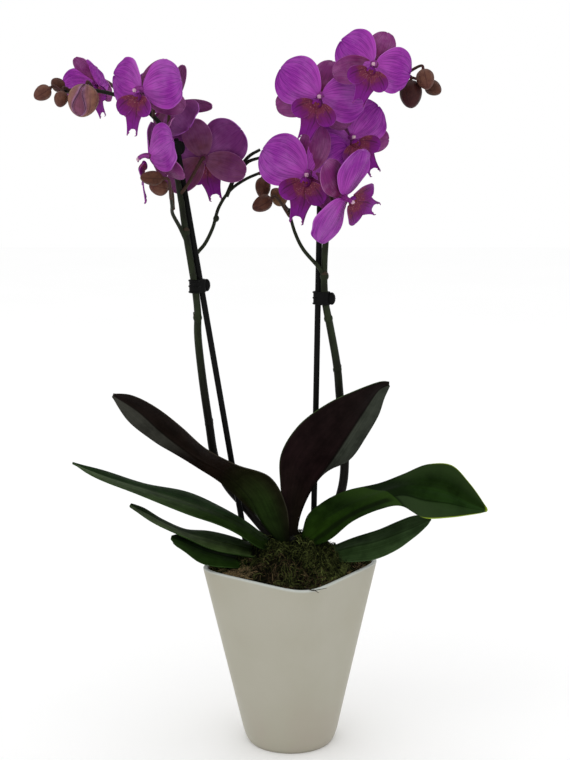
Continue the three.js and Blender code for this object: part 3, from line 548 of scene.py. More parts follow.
def glaze_finish():
    """Pale warm glaze: faintly cloudy, thin on the rim with a painted cool highlight there, and with a fine
    skin.
    """
    glaze = Finish("cream_grey_glaze", Specular_IOR_Level=0.22)
    height = glaze.axes(glaze.place())[2]
    cloud, warm, speck = glaze.grit(9, 4), glaze.grit(24, 3), glaze.grit(700, 2)
    glaze.start(cloud, (0.35, "a8a597"), (0.5, "a5a293"), (0.65, "a39f8f"))
    glaze.paint("a49c90", (height, 0.09, 0.0), (warm, 0.4, 0.65, 0.6, 0.1))
    # Painted highlight: a pale cool band round the top of the rim, where the glaze is also thin.
    glaze.paint("bcc2be", (height, 0.1655, 0.1676, 0.75))
    glaze.paint("928c7c", (speck, 0.7, 0.8, 0.3))
    glaze.rough(cloud, 0.34, 0.5)
    return glaze.done(glaze.sum("ADD", cloud, glaze.times(speck, 0.15)), 0.3, 0.3)


def fibre_finish(name, dark, light):
    """Moss strands: each strand has its own tone."""
    fibre = Finish(name, Roughness=0.95, Specular_IOR_Level=0.02)
    tone = fibre.node("Attribute", attribute_name="tone").outputs["Fac"]
    fibre.start(tone, (0.0, dark), (1.0, light))
    speck = fibre.grit(900, 3)
    fibre.paint(dark, (speck, 0.3, 0.8, 0.5))
    return fibre.done(speck, 0.2, 0.6)


def soil_finish():
    soil = Finish("moss_bed", Roughness=0.95, Specular_IOR_Level=0.02)
    clump = soil.grit(160, 5, roughness=0.7)
    soil.start(clump, (0.3, "080904"), (0.55, "121309"), (0.75, "282212"))
    return soil.done(clump, 2, 1)


def bark_finish():
    chips = Finish("bark_chips", Roughness=0.9, Specular_IOR_Level=0.1)
    cells = chips.node("TexVoronoi", {"Vector": chips.place((1, 1, 2)), "Scale": 90})
    chips.start(cells.outputs["Color"], (0.2, "2e1e14"), (0.8, "5c3e28"))
    chips.paint("1e140e", (chips.grit(300, 4, (1, 1, 4)), 0.3, 0.7, 0.5))
    return chips.done(cells.outputs["Distance"], 3, 0.8)


# Base, middle, outer end, rim and veins of each side of a petal and a sepal
PETAL_FRONT = tepal_finish("petal_front", "a842ac 892694 7d208c b068ba 561064", 0.52)
PETAL_BACK = tepal_finish("petal_back", "722e68 6c2a6a 742c76 9e5ea0 48144c", 0.4)
SEPAL_FRONT = tepal_finish("sepal_front", "6c1a4e 7a286e 82347a aa70a0 480c40", 0.6)
SEPAL_BACK = tepal_finish("sepal_back", "643442 682a5e 702e66 965c8c 3e1238", 0.45)
LIP_FLESH = lip_finish("lip_flesh", "6a253e 621258 701478 bc827c 3a082e 9c46a2")
# Base, tip and seams
COLUMN_FLESH = bud_finish("column_flesh", "7c2678 964492 5c1254")
CAP_FLESH = bud_finish("anther_cap", "c49eb4 d4b8ba a05a92")
CALLUS_FLESH = bud_finish("throat_callus", "803e34 6e2234 541028")
BUD_SKINS = {name: bud_finish(*settings) for name, *settings in (
    ("plain", "bud_skin", "4e2e22 502a24 2a1412"),
    ("rose", "bud_rose", "603e32 5c342e 3c1c1c"),
    ("olive", "bud_olive", "684a30 543226 3e221c"),
    ("dark", "bud_dark", "3a1c1a 3e1a20 260e14"),
)}
TAN_SEPAL = opening_finish("tan_sepal", "8c6450 885a5e 94688a 54422a 543236 42202c")
MAUVE_SEPAL = opening_finish("mauve_sepal", "7c4660 703a5c 94688a 54422a 543236 42202c")
# Lower end, upper end and blotches
STEM_GREEN = stem_finish("stem_green", "262e1c 1c1d16 13110e")
CROWN_SKIN = stem_finish("crown_skin", "0e1208 141a0c 0a0a06")
STALK_SKIN = stem_finish("stalk_skin", "383222 3e2a24 4c262e")
HUB_SKIN = stem_finish("hub_skin", "54323c 602a50 68285a")
BRACT_SKIN = stem_finish("bract_skin", "342c20 362a22 241c16")
BLACK = plastic_finish()
GLAZE = glaze_finish()
MOSS_GREEN = fibre_finish("moss_green", "080a05", "707a42")
MOSS_BROWN = fibre_finish("moss_brown", "14100a", "8e7a58")
SOIL = soil_finish()
BARK = bark_finish()
# Base, middle, outer end, far half (painted sheen on undersides, painted shade on tops) and rim
LEAF_SKINS = {name: leaf_finish("leaf_" + name, *settings) for name, *settings in (
    ("maroon_under", "233413 1f1611 191210 40403a 423e34", 0.4, 0.0, 0.5, 60, 0.015, 0.3),
    ("purple_under", "1a140f 1e1213 191412 3e423a 3c5032", 0.4, 0.0, 0.3, 60, 0.015, 0.3),
    ("green_top", "1c2e0b 253814 526244 1e3216 3c522c", 0.35),
    ("green_low", "223810 213612 2c401e 203216 385028"),
    ("sage_top", "18250a 485a34 768464 344628 546444"),
    ("fern_top", "465a34 344828 3c5032 384a2e 445a38"),
    ("yellow_rim_top", "263c12 1b2d10 203418 192811 96ac34", 0.85, 0.6, 0.1, 30, 0.002, 0.5, True),
)}


# Blades: petals, lips and leaves

def blade(rows, columns, place, thickness, finishes, weight=None):
    """A grid laid on place(u, v) in millimetres and given a body; the second finish is on the back."""
    obj = added(bpy.ops.mesh.primitive_grid_add, x_subdivisions=rows, y_subdivisions=columns, size=2)
    grid = [((vertex.co.x + 1) / 2, vertex.co.y) for vertex in obj.data.vertices]
    for vertex, (u, v) in zip(obj.data.vertices, grid):
        vertex.co = Vector(place(u, v)) * MM
    for finish in finishes:
        obj.data.materials.append(finish)
    body = obj.modifiers.new("body", "SOLIDIFY")
    body.thickness, body.offset = thickness * MM, 0
    body.material_offset = len(finishes) - 1
    if weight:
        group = obj.vertex_groups.new(name="body")
        for index, (u, v) in enumerate(grid):
            group.add([index], weight(u, v), "REPLACE")
        body.vertex_group = "body"
    apply_modifiers(obj)
    obj.vertex_groups.clear()
    return obj


def tube(points, radii, finish, sides, steps):
    """A round stem along a smooth curve; radii are spread evenly along it."""
    curve = bpy.data.curves.new("tube", "CURVE")
    curve.dimensions = "3D"
    curve.bevel_depth = MM
    curve.bevel_resolution = sides // 2 - 2
    curve.use_fill_caps = True
    line = curve.splines.new("POLY")
    line.points.add(steps)
    for i, point in enumerate(line.points):
        t = i / steps
        point.co = (*(spline_at(points, t) * MM), 1)
        place = t * (len(radii) - 1)
        low = min(int(place), len(radii) - 2)
        point.radius = radii[low] + (radii[low + 1] - radii[low]) * (place - low)
    linked("tube", curve)
    bpy.ops.object.convert(target="MESH")
    obj = bpy.context.object
    obj.data.materials.append(finish)
    return obj


def egg(at, axis, length, width, finish, segments, rings, shape=lambda turn, height: 1):
    """A sphere drawn out along axis; shape(turn, height) scales its width."""
    obj = added(bpy.ops.mesh.primitive_uv_sphere_add, segments=segments, ring_count=rings, radius=1)
    facing = Vector(axis).normalized().to_track_quat("Z", "Y").to_matrix()
    for vertex in obj.data.vertices:
        x, y, z = vertex.co
        slim = shape(atan2(y, x), z)
        local = Vector((x * slim * width / 2, y * slim * width / 2, z * length / 2))
        vertex.co = (facing @ local + Vector(at)) * MM
    obj.data.materials.append(finish)
    return obj


# Pot and what fills it

def pot_outline(turn, z):
    """Radius of the pot's outline in one direction: a circle at the foot, a rounded square at the rim."""
    rise = min(1, max(0, z / POT_HEIGHT))
    squareness = 2 + (RIM_SQUARENESS - 2) * rise ** 1.4
    reach = abs(cos(turn)) ** squareness + abs(sin(turn)) ** squareness
    return reach ** (-1 / squareness) / 2 ** (0.5 - 1 / squareness)


def corner_radius(z):
    return FOOT_RADIUS + (RIM_CORNER_RADIUS - FOOT_RADIUS) * z / POT_HEIGHT


def thrown(profile, sides, finish, relief=lambda x, y, z: 0):
    """A disc extruded up ring by ring, as on a wheel, and then pressed into the pot's square outline."""
    first_radius, first_z = profile[0]
    obj = added(bpy.ops.mesh.primitive_circle_add, vertices=sides, radius=first_radius * MM,
                fill_type="NGON", location=(0, 0, first_z * MM))
    start_edit(apply_place(obj))
    for (old_radius, old_z), (radius, z) in zip(profile, profile[1:]):
        extrude_up(z - old_z)
        share = radius / old_radius
        bpy.ops.transform.resize(value=(share, share, 1), center_override=(0, 0, z * MM))
    end_edit()
    for vertex in obj.data.vertices:
        x, y, z = vertex.co / MM
        turn = atan2(y, x)
        out = hypot(x, y) * pot_outline(turn, z)
        x, y = out * cos(turn + POT_FRONT), out * sin(turn + POT_FRONT)
        vertex.co = Vector((x, y, z + relief(x, y, z))) * MM
    obj.data.materials.append(finish)
    return obj


def rounded(points, radius, steps=5):
    """The profile with each marked corner (radius, z, True) turned by a small arc."""
    soft = []
    for i, point in enumerate(points):
        if len(point) < 3:
            soft.append(point)
            continue
        corner = Vector(point[:2])
        before, after = (Vector(points[i + way][:2]) - corner for way in (-1, 1))
        start = corner + before.normalized() * min(radius, before.length * 0.5)
        end = corner + after.normalized() * min(radius, after.length * 0.5)
        for k in range(steps + 1):
            t = k / steps
            soft.append(tuple((1 - t) ** 2 * start + 2 * t * (1 - t) * corner + t * t * end))
    return soft


def make_pot():
    side = [(corner_radius(z), z) for z in (12, 24, 40, 56, 72, 88, 104, 118, 132, 144, 154, 161)]
    inside = [(corner_radius(z) - WALL, z) for z in (161, 152, 136, 116, 96, 72, 48, 28, 16)]
    profile = [(FOOT_RADIUS - 6, 0), (FOOT_RADIUS - 2.4, 0), (FOOT_RADIUS, 3.4, True), *side,
               (RIM_CORNER_RADIUS, POT_HEIGHT, True), (RIM_CORNER_RADIUS - WALL, POT_HEIGHT, True),
               *inside, (corner_radius(FLOOR) - WALL - 4, FLOOR), (4, FLOOR)]
    finished(thrown(rounded(profile, 2.1), 192, GLAZE), "cover_pot", "pot", 60)


def rim_at(x, y, inset):
    """How far out the rim's inside lies in the direction of a point, less an inset."""
    return (RIM_CORNER_RADIUS - inset) * pot_outline(atan2(y, x) - POT_FRONT, POT_HEIGHT)


def moss_top(x, y):
    away = hypot(x, y)
    mound = MOUND_HEIGHT * exp(-((away / MOUND_RADIUS) ** 3))
    lumps = 4.5 * noise.noise(Vector((x, y, 0)) * 0.06) + 2.4 * noise.noise(Vector((x, y, 9)) * 0.17)
    return MOSS_EDGE_TOP + mound + lumps * (1 - 0.75 * smoothstep(0.75, 1, away / rim_at(x, y, WALL)))


def make_moss_bed():
    low = MEDIUM_TOP + GAP

    def fit(z):
        return corner_radius(z) - WALL - 0.6

    def relief(x, y, z):
        return moss_top(x, y) - MOSS_EDGE_TOP - 0.8 if z >= MOSS_EDGE_TOP - 1 else 0

    rings = [(fit(MOSS_EDGE_TOP) * share / 20, MOSS_EDGE_TOP) for share in range(20, 0, -1)]
    bed = thrown([(fit(low), low), (fit(152), 152), (fit(158), 158), *rings], 96, SOIL, relief)
    finished(bed, "moss_bed", "moss", 80)


def tufts(name, count, each, seed, finish, zone, radius, length, lift):
    """Small tufts of curled three-sided fibres on the moss bed, each fibre with its own tone."""
    rng = random.Random(seed)
    points, faces, tones = [], [], []
    steps = 5
    for _ in range(count):
        x, y, tuft_tone = zone(rng)
        spread = rng.uniform(0.6, 2.6)
        for _ in range(each):
            px, py = x + rng.gauss(0, spread), y + rng.gauss(0, spread)
            heading, bend = rng.uniform(0, tau), rng.gauss(0, 0.35)
            reach, high, thick = rng.uniform(*length), rng.uniform(*lift), rng.uniform(*radius)
            tone = min(1, max(0, tuft_tone + rng.gauss(0, 0.3)))
            base = len(points)
            for i in range(steps + 1):
                t = i / steps
                heading += bend + rng.gauss(0, 0.25)
                px += cos(heading) * reach / steps
                py += sin(heading) * reach / steps
                limit, away = rim_at(px, py, WALL + 1.2), hypot(px, py)
                if away > limit:
                    px, py = px * limit / away, py * limit / away
                pz = moss_top(px, py) - 0.6 + high * sin(2.6 * t) + rng.uniform(-0.3, 0.3)
                slim = thick * (1 - 0.75 * t)
                turn = heading + pi / 2
                for k in range(3):
                    out, up = slim * cos(k * tau / 3), slim * sin(k * tau / 3)
                    points.append(Vector((px + cos(turn) * out, py + sin(turn) * out, pz + up)) * MM)
                    tones.append(tone)
                if i:
                    a, b = base + 3 * (i - 1), base + 3 * i
                    faces += [(a + k, a + (k + 1) % 3, b + (k + 1) % 3, b + k) for k in range(3)]
            end = base + 3 * steps
            faces += [(base + 2, base + 1, base), (end, end + 1, end + 2)]
    mesh = bpy.data.meshes.new(name)
    mesh.from_pydata(points, [], faces)
    mesh.attributes.new("tone", "FLOAT", "POINT").data.foreach_set("value", tones)
    mesh.materials.append(finish)
    obj = linked(name, mesh)
    start_edit(obj)
    end_edit()
    finished(obj, name, "", 60)


def anywhere(rng):
    while True:
        x, y = rng.uniform(-78, 78), rng.uniform(-78, 78)
        if hypot(x, y) < rim_at(x, y, WALL + 1):
            return x, y


def green_zone(rng):
    x, y = anywhere(rng)
    bright = smoothstep(8, 20, x) * smoothstep(62, 48, x)
    return x, y, 0.06 + 0.5 * noise.noise(Vector((x, y, 3)) * 0.08) + 0.14 * bright


def brown_zone(rng):
    while True:
        x, y = anywhere(rng)
        share = hypot(x, y) / rim_at(x, y, 0)
        if rng.random() < 0.15 + 0.85 * smoothstep(0.55, 0.85, share):
            return x, y, 0.85 * smoothstep(0.5, 0.8, share) * smoothstep(20, 48, abs(x))


def foot_zone(rng):
    """Round the feet of the two right leaves."""
    x, y = ((22, -24), (36, -34), (50, -38))[rng.randrange(3)]
    return x + rng.gauss(0, 5), y + rng.gauss(0, 4), 0.16


def make_moss():
    make_moss_bed()
    tufts("moss_green_strands", 230, 22, 11, MOSS_GREEN, green_zone, (0.22, 0.48), (4, 13), (0.8, 5.5))
    tufts("moss_tall_strands", 46, 16, 31, MOSS_GREEN, foot_zone, (0.22, 0.45), (7, 16), (3, 11))
    tufts("moss_brown_strands", 165, 20, 23, MOSS_BROWN, brown_zone, (0.2, 0.5), (4, 13), (0.6, 4))
    main, side = curves("""
        10 -66 165, 14 -73 168.6, 19 -78.4 168.4, 25 -77 168.9, 31 -74.5 169.2;
        19 -77 168.6, 22 -79.2 167.8, 24 -79 166.4""")
    rootlet = [tube(main, (0.55, 0.5, 0.45, 0.3, 0.2), BRACT_SKIN, 8, 24),
               tube(side, (0.35, 0.2), BRACT_SKIN, 8, 10)]
    finished(join(rootlet), "rim_rootlet")


# Leaves and crown

def leaf_place(near, rib, far, sway):
    def place(u, v):
        u = (u * 8 + 0.02) / 8.04  # a hair inside both ends, where the edges meet
        middle = spline_at(rib, u)
        half = spline_at(near if v < 0 else far, u) - middle
        share = abs(v)
        up = half.cross(direction_at(rib, min(0.998, max(0.002, u)))) * (1 if v < 0 else -1)
        up.normalize()
        arch = LEAF_CAMBER * half.length * sin(pi * share)
        groove = 0.7 * exp(-(v / 0.07) ** 2) * (1 - 0.6 * u)
        ripple = 0.55 * share ** 3 * sin(sway + 17 * u + 2 * v) * smoothstep(0.05, 0.3, u)
        pull = smoothstep(0.94, 1.0, u)
        middle = middle + half * share * (1 - 0.12 * pull * pull)
        return middle - up * (arch + groove - ripple)

    return place


def leaf_body(u, v):
    return (1 - 0.52 * abs(v)) * (1 - 0.45 * u)


def make_leaves():
    for number, (name, (*sides, lines)) in enumerate(LEAVES.items()):
        skins = [LEAF_SKINS[side] for side in sides]
        piece = blade(72, 22, leaf_place(*curves(lines), 1.7 * number), LEAF_RIB, skins, leaf_body)
        finished(piece, "strap_leaf_" + name, "leaf_" + name, 60)


def make_crown():
    roots = curves("""
        -4 -4 158, -16 -16 140, -24 -22 112, -20 -18 78;
        6 -4 158, 20 -10 138, 30 -8 108, 24 -4 70;
        0 5 158, -6 18 138, -4 26 104, -2 20 64""")
    stub = egg((0, 0, 174), (0, 0, 1), 49, 21, CROWN_SKIN, 32, 20, lambda turn, z: 1 + 0.04 * cos(9 * turn))
    parts = [stub] + [tube(root, (2.6, 2.5, 2.4, 1.8), BRACT_SKIN, 10, 24) for root in roots]
    finished(join(parts), "crown_and_roots", "crown")


# Flower stems

def bract(at, along, radius, turn):
    """The dry scale that clasps a stem at a node."""
    along = along.normalized()
    side = along.orthogonal().normalized()
    other = along.cross(side)

    def place(u, v):
        angle = turn + v * (1 - u ** 1.6) * 1.9
        out = radius + 0.35 + 0.2 * u
        return at + along * (u * 6.5 - 1.5) + side * cos(angle) * out + other * sin(angle) * out

    return blade(8, 10, place, 0.5, (BRACT_SKIN,))


def bloom_stalk(bloom):
    matrix = bloom_matrix(bloom)
    end = -(HUB_DEPTH + GAP / bloom.size - 0.35)
    return [bloom.start, *bloom.via, matrix @ Vector((0, 0, -14)), matrix @ Vector((0, 0, end))]


def bud_foot(bud, sunk):
    """A point just inside the foot of a bud, and the direction of its tip."""
    tip = Vector(bud.tip).normalized()
    return Vector(bud.at) - tip * (bud.length / 2 - sunk), tip


def make_spike(side):
    lines, nodes, knots = SPIKES[side]
    stem, rachis, *branches = curves(lines)
    parts = [
        tube(stem, (4.1, 4.1, 4.1, 3.9, 3.6, 3.2, 2.9, 2.7), STEM_GREEN, 16, 110),
        tube(rachis, (2.6, 2.1, 1.9, 1.6, 1.5), STEM_GREEN, 14, 70),
    ]
    for branch in branches:
        parts.append(tube(branch, (2.0, 1.7, 1.5, 1.3), STEM_GREEN, 12, 10 * len(branch)))
    for joint in knots:
        parts.append(egg(joint, (0.3, 0, 1), 6.4, 5.4, STEM_GREEN, 20, 12))
    for number, joint in enumerate(nodes):
        at = Vector(joint)
        along = at - Vector(nodes[number - 1]) if number else Vector((0, 0, 1))
        along = Vector((along.x * 0.3, along.y * 0.3, abs(along.z) + 5))
        parts.append(egg(at, along, 9, 8.1, STEM_GREEN, 20, 12))
        parts.append(bract(at, along, 3.05, 2.1 * number))
    for key, bloom in BLOOMS.items():
        if side in key:
            parts.append(tube(bloom_stalk(bloom), (1.6, 1.4, 1.6, 2.0), STALK_SKIN, 10, 26))
    for key, bud in BUDS.items():
        bud_side = "left" if "left" in key or key == "middle_1" else "right"
        if bud_side == side:
            foot, tip = bud_foot(bud, 0.4)
            parts.append(tube([bud.start, foot - tip * 4, foot], (1.4, 1.15, 1.3), STALK_SKIN, 10, 18))
    finished(join(parts), "flower_stem_" + side, "spike_" + side)


def make_stakes():
    for side, (low, high) in STAKES.items():
        low, high = Vector(low), Vector(high)
        along = high - low
        rod = added(bpy.ops.mesh.primitive_cylinder_add, vertices=32, radius=STAKE_RADIUS * MM,
                    depth=along.length * MM, location=(low + high) / 2 * MM,
                    rotation=along.to_track_quat("Z", "Y").to_euler())
        soften(apply_place(rod), 0.9, 4, 30)
        rod.data.materials.append(BLACK)
        finished(rod, "support_rod_" + side, "stake_" + side, 40)


def height_on(points, z):
    low, high = 0, 1
    for _ in range(30):
        middle = (low + high) / 2
        if spline_at(points, middle).z < z:
            low = middle
        else:
            high = middle
    return spline_at(points, low)


def half_ring(centre, radius, start):
    angles = [start + pi * k / 16 for k in range(17)]
    return [(centre + radius * cos(angle), radius * sin(angle)) for angle in angles]


def make_clip(name, z):
    """A small claw clip: a band round stem and rod, ribs at one end, finger tab at the other."""
    side = "left" if "left" in name else "right"
    main, rachis, *_ = curves(SPIKES[side][0])
    line, radius = (rachis, RACHIS_RADIUS) if "upper" in name else (main, SPIKE_RADIUS)
    foot, top = (Vector(end) for end in STAKES[side])
    rod = foot.lerp(top, (z - foot.z) / (top.z - foot.z))
    stem = height_on(line, z)
    reach = hypot(stem.x - rod.x, stem.y - rod.y)
    turn = atan2(rod.y - stem.y, rod.x - stem.x)
    stem_side, rod_side = radius + CLIP_WALL, STAKE_RADIUS + CLIP_WALL
    rib_place, rib_radius, tab_place = 0, stem_side, reach + rod_side + 1.6
    if side == "right":
        rib_place, rib_radius, tab_place = reach, rod_side, -stem_side - 1.6
    outline = half_ring(0, stem_side, pi / 2) + half_ring(reach, rod_side, -pi / 2)
    mesh = bpy.data.meshes.new("band")
    mesh.from_pydata([(x * MM, y * MM, 0) for x, y in outline], [], [tuple(range(len(outline)))])
    parts = [linked("band", mesh)]
    start_edit(parts[0])
    extrude_up(CLIP_HEIGHT)
    end_edit()
    for share in (0.08, 0.5, 0.92):
        parts.append(apply_place(added(
            bpy.ops.mesh.primitive_torus_add, major_radius=rib_radius * MM, minor_radius=0.75 * MM,
            major_segments=28, minor_segments=10, location=(rib_place * MM, 0, CLIP_HEIGHT * share * MM))))
    parts.append(egg((tab_place, 0, CLIP_HEIGHT / 2), (0, 0, 1), CLIP_HEIGHT * 0.94, 6.6, BLACK, 32, 20,
                     lambda turn, height: 1 + 0.04 * cos(24 * height)))
    clip = join(parts)
    low = Vector((stem.x, stem.y, z - CLIP_HEIGHT / 2)) * MM
    clip.data.transform(Matrix.Translation(low) @ Matrix.Rotation(turn, 4, "Z"))
    soften(clip, 0.8, 3, 50)
    clip.data.materials.clear()
    clip.data.materials.append(BLACK)
    finished(clip, "claw_clip_" + name, "clip_" + name, 40)


# Blooms and buds

def bloom_matrix(bloom):
    yaw, pitch, roll = (radians(angle) for angle in bloom.turn)
    face = Vector((sin(yaw) * cos(pitch), -cos(yaw) * cos(pitch), sin(pitch)))
    side = Vector((cos(yaw), sin(yaw), 0))
    up = face.cross(side)
    right = side * cos(roll) - up * sin(roll)
    top = up * cos(roll) + side * sin(roll)
    turned = Matrix((right, top, face)).transposed().to_4x4()
    return Matrix.Translation(bloom.at) @ turned @ Matrix.Scale(bloom.size, 4)


def tepal_half(u, widest, claw):
    """Half width of a petal or sepal along its length, as a share of its widest."""
    if u > widest:
        return sqrt(max(0, 1 - ((u - widest) / (1 - widest)) ** 2))
    return claw + (1 - claw) * sin((pi / 2) * (max(0, u) / widest)) ** 0.7


def tepal_place(shape, slim, angle, sweep, matrix, phase):
    swing = Matrix.Rotation(radians(angle), 4, "Z") @ Matrix.Rotation(-radians(sweep), 4, "Y")
    whole = matrix @ Matrix.Translation((0, 0, shape.depth)) @ swing

    def place(s, v):
        u = min(1 - (1 - s) ** 1.45, 0.9992)
        half = (shape.width * slim / 2) * tepal_half(u, shape.widest, shape.claw)
        along = TEPAL_START + (shape.length - TEPAL_START) * u - 0.9 * u ** 40
        bend = -shape.arch * shape.length * u * u
        ripple = shape.wave * u * sin(5.2 * v + 4 * u)
        frill = shape.frill * (abs(v) ** 3 + u ** 6) * sin(phase + 11 * u + 5.5 * v * (1 - u ** 6))
        crease = -0.5 * exp(-(v / 0.09) ** 2) * (1 - u)
        cup = -0.08 * half * v * v
        return whole @ Vector((along, half * v, bend + cup + ripple + frill + crease))

    return place


class Local:
    """Eggs and tubes in the place, turn and size of one bloom."""

    def __init__(self, bloom):
        self.matrix, self.size = bloom_matrix(bloom), bloom.size

    def at(self, x, y, z):
        return self.matrix @ Vector((x, y, z))

    def egg(self, at, axis, length, width, *rest):
        way = self.matrix.to_3x3() @ Vector(axis)
        return egg(self.at(*at), way, length * self.size, width * self.size, *rest)

    def tube(self, points, radii, *rest):
        return tube([self.at(*point) for point in points], [radius * self.size for radius in radii], *rest)


def bloom_column(local):
    """The hub behind the petals, the column and its pale cap with a beak."""
    column = [(0, 0.4, 0), (0, 1.7, 3.5), (0, 1.5, 7), (0, 0.3, 9.6)]
    return [
        local.egg((0, 0, -1.6), (0, 0, 1), 4.6, 8.4, HUB_SKIN, 20, 12),
        local.tube(column, (2.9, 2.2, 2.0, 1.9), COLUMN_FLESH, 16, 16),
        local.egg((0, -0.1, 10.2), (0, -0.35, 1), 3.6, 3.3, CAP_FLESH, 24, 14,
                  lambda turn, z: (cos(turn) ** 4 + sin(turn) ** 4) ** -0.25),
        local.egg((0, -1.9, 10.6), (0, -1, 0.4), 2.2, 1.4, COLUMN_FLESH, 12, 8),
    ]


def make_tepals(name, bloom, seed):
    local = Local(bloom)
    rng = random.Random(seed)
    parts = []
    for places, shape, slim, rows, columns, finishes in (
            (bloom.sepals, SEPAL, bloom.slim, 26, 16, (SEPAL_FRONT, SEPAL_BACK)),
            (bloom.petals, PETAL, 1, 32, 26, (PETAL_FRONT, PETAL_BACK))):
        for angle, sweep in places:
            place = tepal_place(shape, slim, angle, sweep, local.matrix, rng.uniform(0, tau))
            parts.append(blade(rows, columns, place, TEPAL_THICKNESS, finishes))
    node = "bloom_" + name
    finished(join(parts + bloom_column(local)), node + "_tepals", node + "_petals", 60)


def make_lip(name, bloom, seed):
    local = Local(bloom)
    rng = random.Random(seed)

    def side_lobe(flip):
        phase = rng.uniform(0, tau)

        def place(s, v):
            u = min(1 - (1 - s) ** 1.4, 0.999)
            half = 8.4 * tepal_half(u, 0.6, 0.3)
            frill = 0.4 * abs(v) ** 3 * sin(phase + 9 * u + 4 * v)
            rise = 5 + 5.5 * sin(u * 1.7) + frill
            point = Vector((5 + 19 * u, half * v, rise + 0.16 * half * v * v))
            point.rotate(Matrix.Rotation(radians(-45), 3, "Z"))
            return local.at(flip * point.x, point.y - 3, point.z)

        return place

    def middle_lobe(u, v):
        spread = sin(min(1, u / 0.55) * pi / 2) ** 2
        half = 2.4 + 6.4 * spread - 9 * max(0, u - 0.55) ** 0.9
        horn = u ** 6 * v ** 4
        keel = 0.9 * exp(-(v / 0.14) ** 2) * (1 - u)
        cup = 0.5 * v * v * sin(pi * u)
        return local.at(half * v + 1.4 * horn * v, -9 - 24.5 * u - 5 * horn,
                        6 + 5 * sin(u * 2) + 2 * horn + keel + cup)

    lobes = ((20, 14, side_lobe(1)), (20, 14, side_lobe(-1)), (30, 18, middle_lobe))
    parts = [blade(rows, columns, place, 0.8, (LIP_FLESH,)) for rows, columns, place in lobes]
    for side in (-1, 1):
        curl = rng.uniform(0.2, 0.8)
        hook = [(side * 4.4, -36.4, 11.4), (side * (4.8 + curl), -38.6, 12.4),
                (side * (3.8 + curl), -39.4, 13.6)]
        parts.append(local.tube(hook, (0.9, 0.6, 0.3), COLUMN_FLESH, 8, 12))
    parts.append(local.egg((0, -6.6, 5.8), (0, 0, 1), 5, 8.6, LIP_FLESH, 20, 12))
    for side in (-1, 1):
        parts.append(local.egg((1.3 * side, -6.4, 8.4), (0, 0, 1), 2.6, 2.1, CALLUS_FLESH, 14, 10))
    node = "bloom_" + name
    finished(join(parts), node + "_labellum", node + "_lip", 60)


def bud_width(turn, z):
    seam = 0.1 * exp(-(((turn * 3 / tau) % 1 - 0.5) / 0.09) ** 2) * sqrt(max(0, 1 - z * z))
    return (1 - 0.16 * z) * (1 - 0.04 * cos(3 * turn)) * (1 - seam)


def closed_bud(bud):
    foot, tip = bud_foot(bud, 0.3)
    return [egg(bud.at, bud.tip, bud.length, bud.width, BUD_SKINS[bud.skin], 36, 24, bud_width),
            egg(foot, tip, 3, 3.8, STALK_SKIN, 16, 10)]


def opening_bud(bud):
    """Three thick sepals that only just draw apart, with the petals' colour in the slits."""
    tip = Vector(bud.tip).normalized()
    facing = tip.to_track_quat("Z", "Y").to_matrix()
    toward = facing.transposed() @ Vector((-0.15, -1, 0))
    front = atan2(toward.y, toward.x)

    def sepal(first, last, swell):
        def place(u, v):
            down = pi * (0.02 + 0.95 * u)
            start, end = first(u), last(u)
            turn = front + start + (end - start) * (v + 1) / 2
            rolled = 0.04 * smoothstep(0.8, 1, abs(v))
            ring = sin(down) * (1 + 0.1 * cos(down)) * (0.96 + rolled)
            out = ring * swell * bud.width / 2
            drop = cos(down) * swell * bud.length / 2
            return Vector(bud.at) + facing @ Vector((cos(turn) * out, sin(turn) * out, -drop))

        return place

    def parting(u):
        return 0.04 + 0.1 * u + 0.75 * smoothstep(0.4, 0.95, u)

    front_sepal = sepal(lambda u: -parting(u), parting, 0.95)
    right_sepal = sepal(lambda u: parting(u) + 0.05, lambda u: pi, 1)
    left_sepal = sepal(lambda u: -pi, lambda u: -parting(u) - 0.05, 1)
    return [egg(bud.at, tip, bud.length * 0.9, bud.width * 0.84, PETAL_BACK, 30, 20),
            blade(30, 16, front_sepal, 0.9, (MAUVE_SEPAL,)),
            blade(30, 30, right_sepal, 0.9, (TAN_SEPAL,)),
            blade(30, 30, left_sepal, 0.9, (TAN_SEPAL,))]


def make_buds():
    for name, bud in BUDS.items():
        parts = closed_bud(bud) if bud.skin else opening_bud(bud)
        finished(join(parts), f"bud_{name}_sepals", "bud_" + name, 70)


# Studio

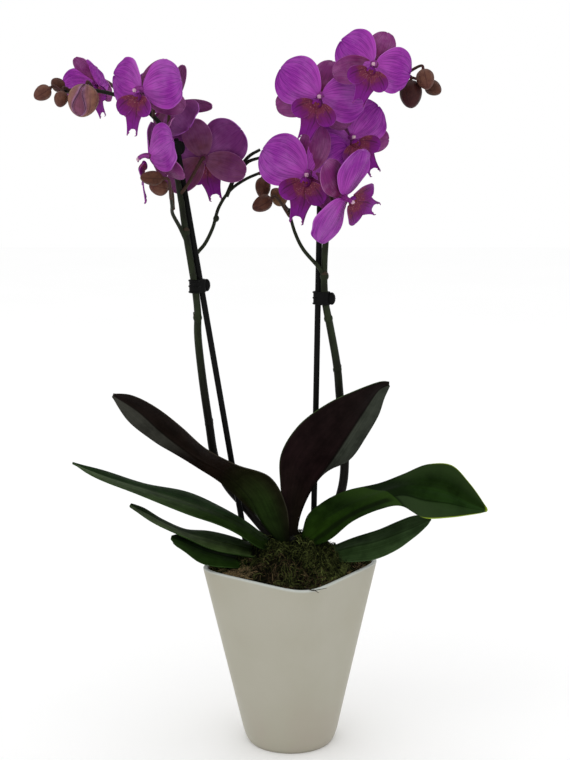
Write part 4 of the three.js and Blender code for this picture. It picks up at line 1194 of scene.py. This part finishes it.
CAMERA_PLACE = (-0.005, -1.375, 0.612)
CAMERA_DIP = 11.3
FOCAL_LENGTH_PIXELS = 1580
PICTURE_HEIGHT_PIXELS = 760
SENSOR_MM = 36
# Place, power in watts and size of each lamp
LAMPS = {"key_light": ((-1.1, -1.5, 2.3), 5, 1.5), "top_light": ((0.1, 0.4, 2.6), 3, 1.4)}


def make_studio():
    floor = added(bpy.ops.mesh.primitive_plane_add, size=8, location=(0, 0, 0))
    floor.name = "studio_floor"
    paper = Finish("studio_paper", Roughness=1.0, Specular_IOR_Level=0.0)
    white = paper.mixed(paper.grit(3, 2), (0.97, 0.97, 0.97, 1), (0.99, 0.99, 0.99, 1))
    paper.put(white, paper.shader.inputs["Base Color"])
    floor.data.materials.append(paper.material)

    scene = bpy.context.scene
    world = scene.world or bpy.data.worlds.new("studio")
    scene.world = world
    world.use_nodes = True
    backdrop = world.node_tree.nodes["Background"]
    backdrop.inputs["Color"].default_value = (1, 1, 1, 1)
    backdrop.inputs["Strength"].default_value = 1.0

    for name, (place, power, size) in LAMPS.items():
        lamp = added(bpy.ops.object.light_add, type="AREA", location=place)
        lamp.name = name
        lamp.data.energy, lamp.data.size = power, size
        aim = Vector((0, 0, 0.35)) - Vector(place)
        lamp.rotation_euler = aim.to_track_quat("-Z", "Y").to_euler()

    camera = added(bpy.ops.object.camera_add, location=CAMERA_PLACE,
                   rotation=(radians(90 - CAMERA_DIP), 0, 0))
    camera.name = "photo_camera"
    camera.data.sensor_fit = "VERTICAL"
    camera.data.sensor_height = SENSOR_MM
    camera.data.lens = SENSOR_MM * FOCAL_LENGTH_PIXELS / PICTURE_HEIGHT_PIXELS
    camera.data.clip_start, camera.data.clip_end = 0.01, 50
    scene.camera = camera
    scene.view_settings.view_transform = "Standard"


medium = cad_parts["growing_medium"].data.materials
medium.clear()
medium.append(BARK)

make_pot()
make_moss()
make_leaves()
make_crown()
make_stakes()
for side in SPIKES:
    make_spike(side)
for name, z in CLIPS.items():
    make_clip(name, z)
for number, (name, bloom) in enumerate(BLOOMS.items()):
    make_tepals(name, bloom, 100 + number)
    make_lip(name, bloom, 200 + number)
make_buds()
make_studio()
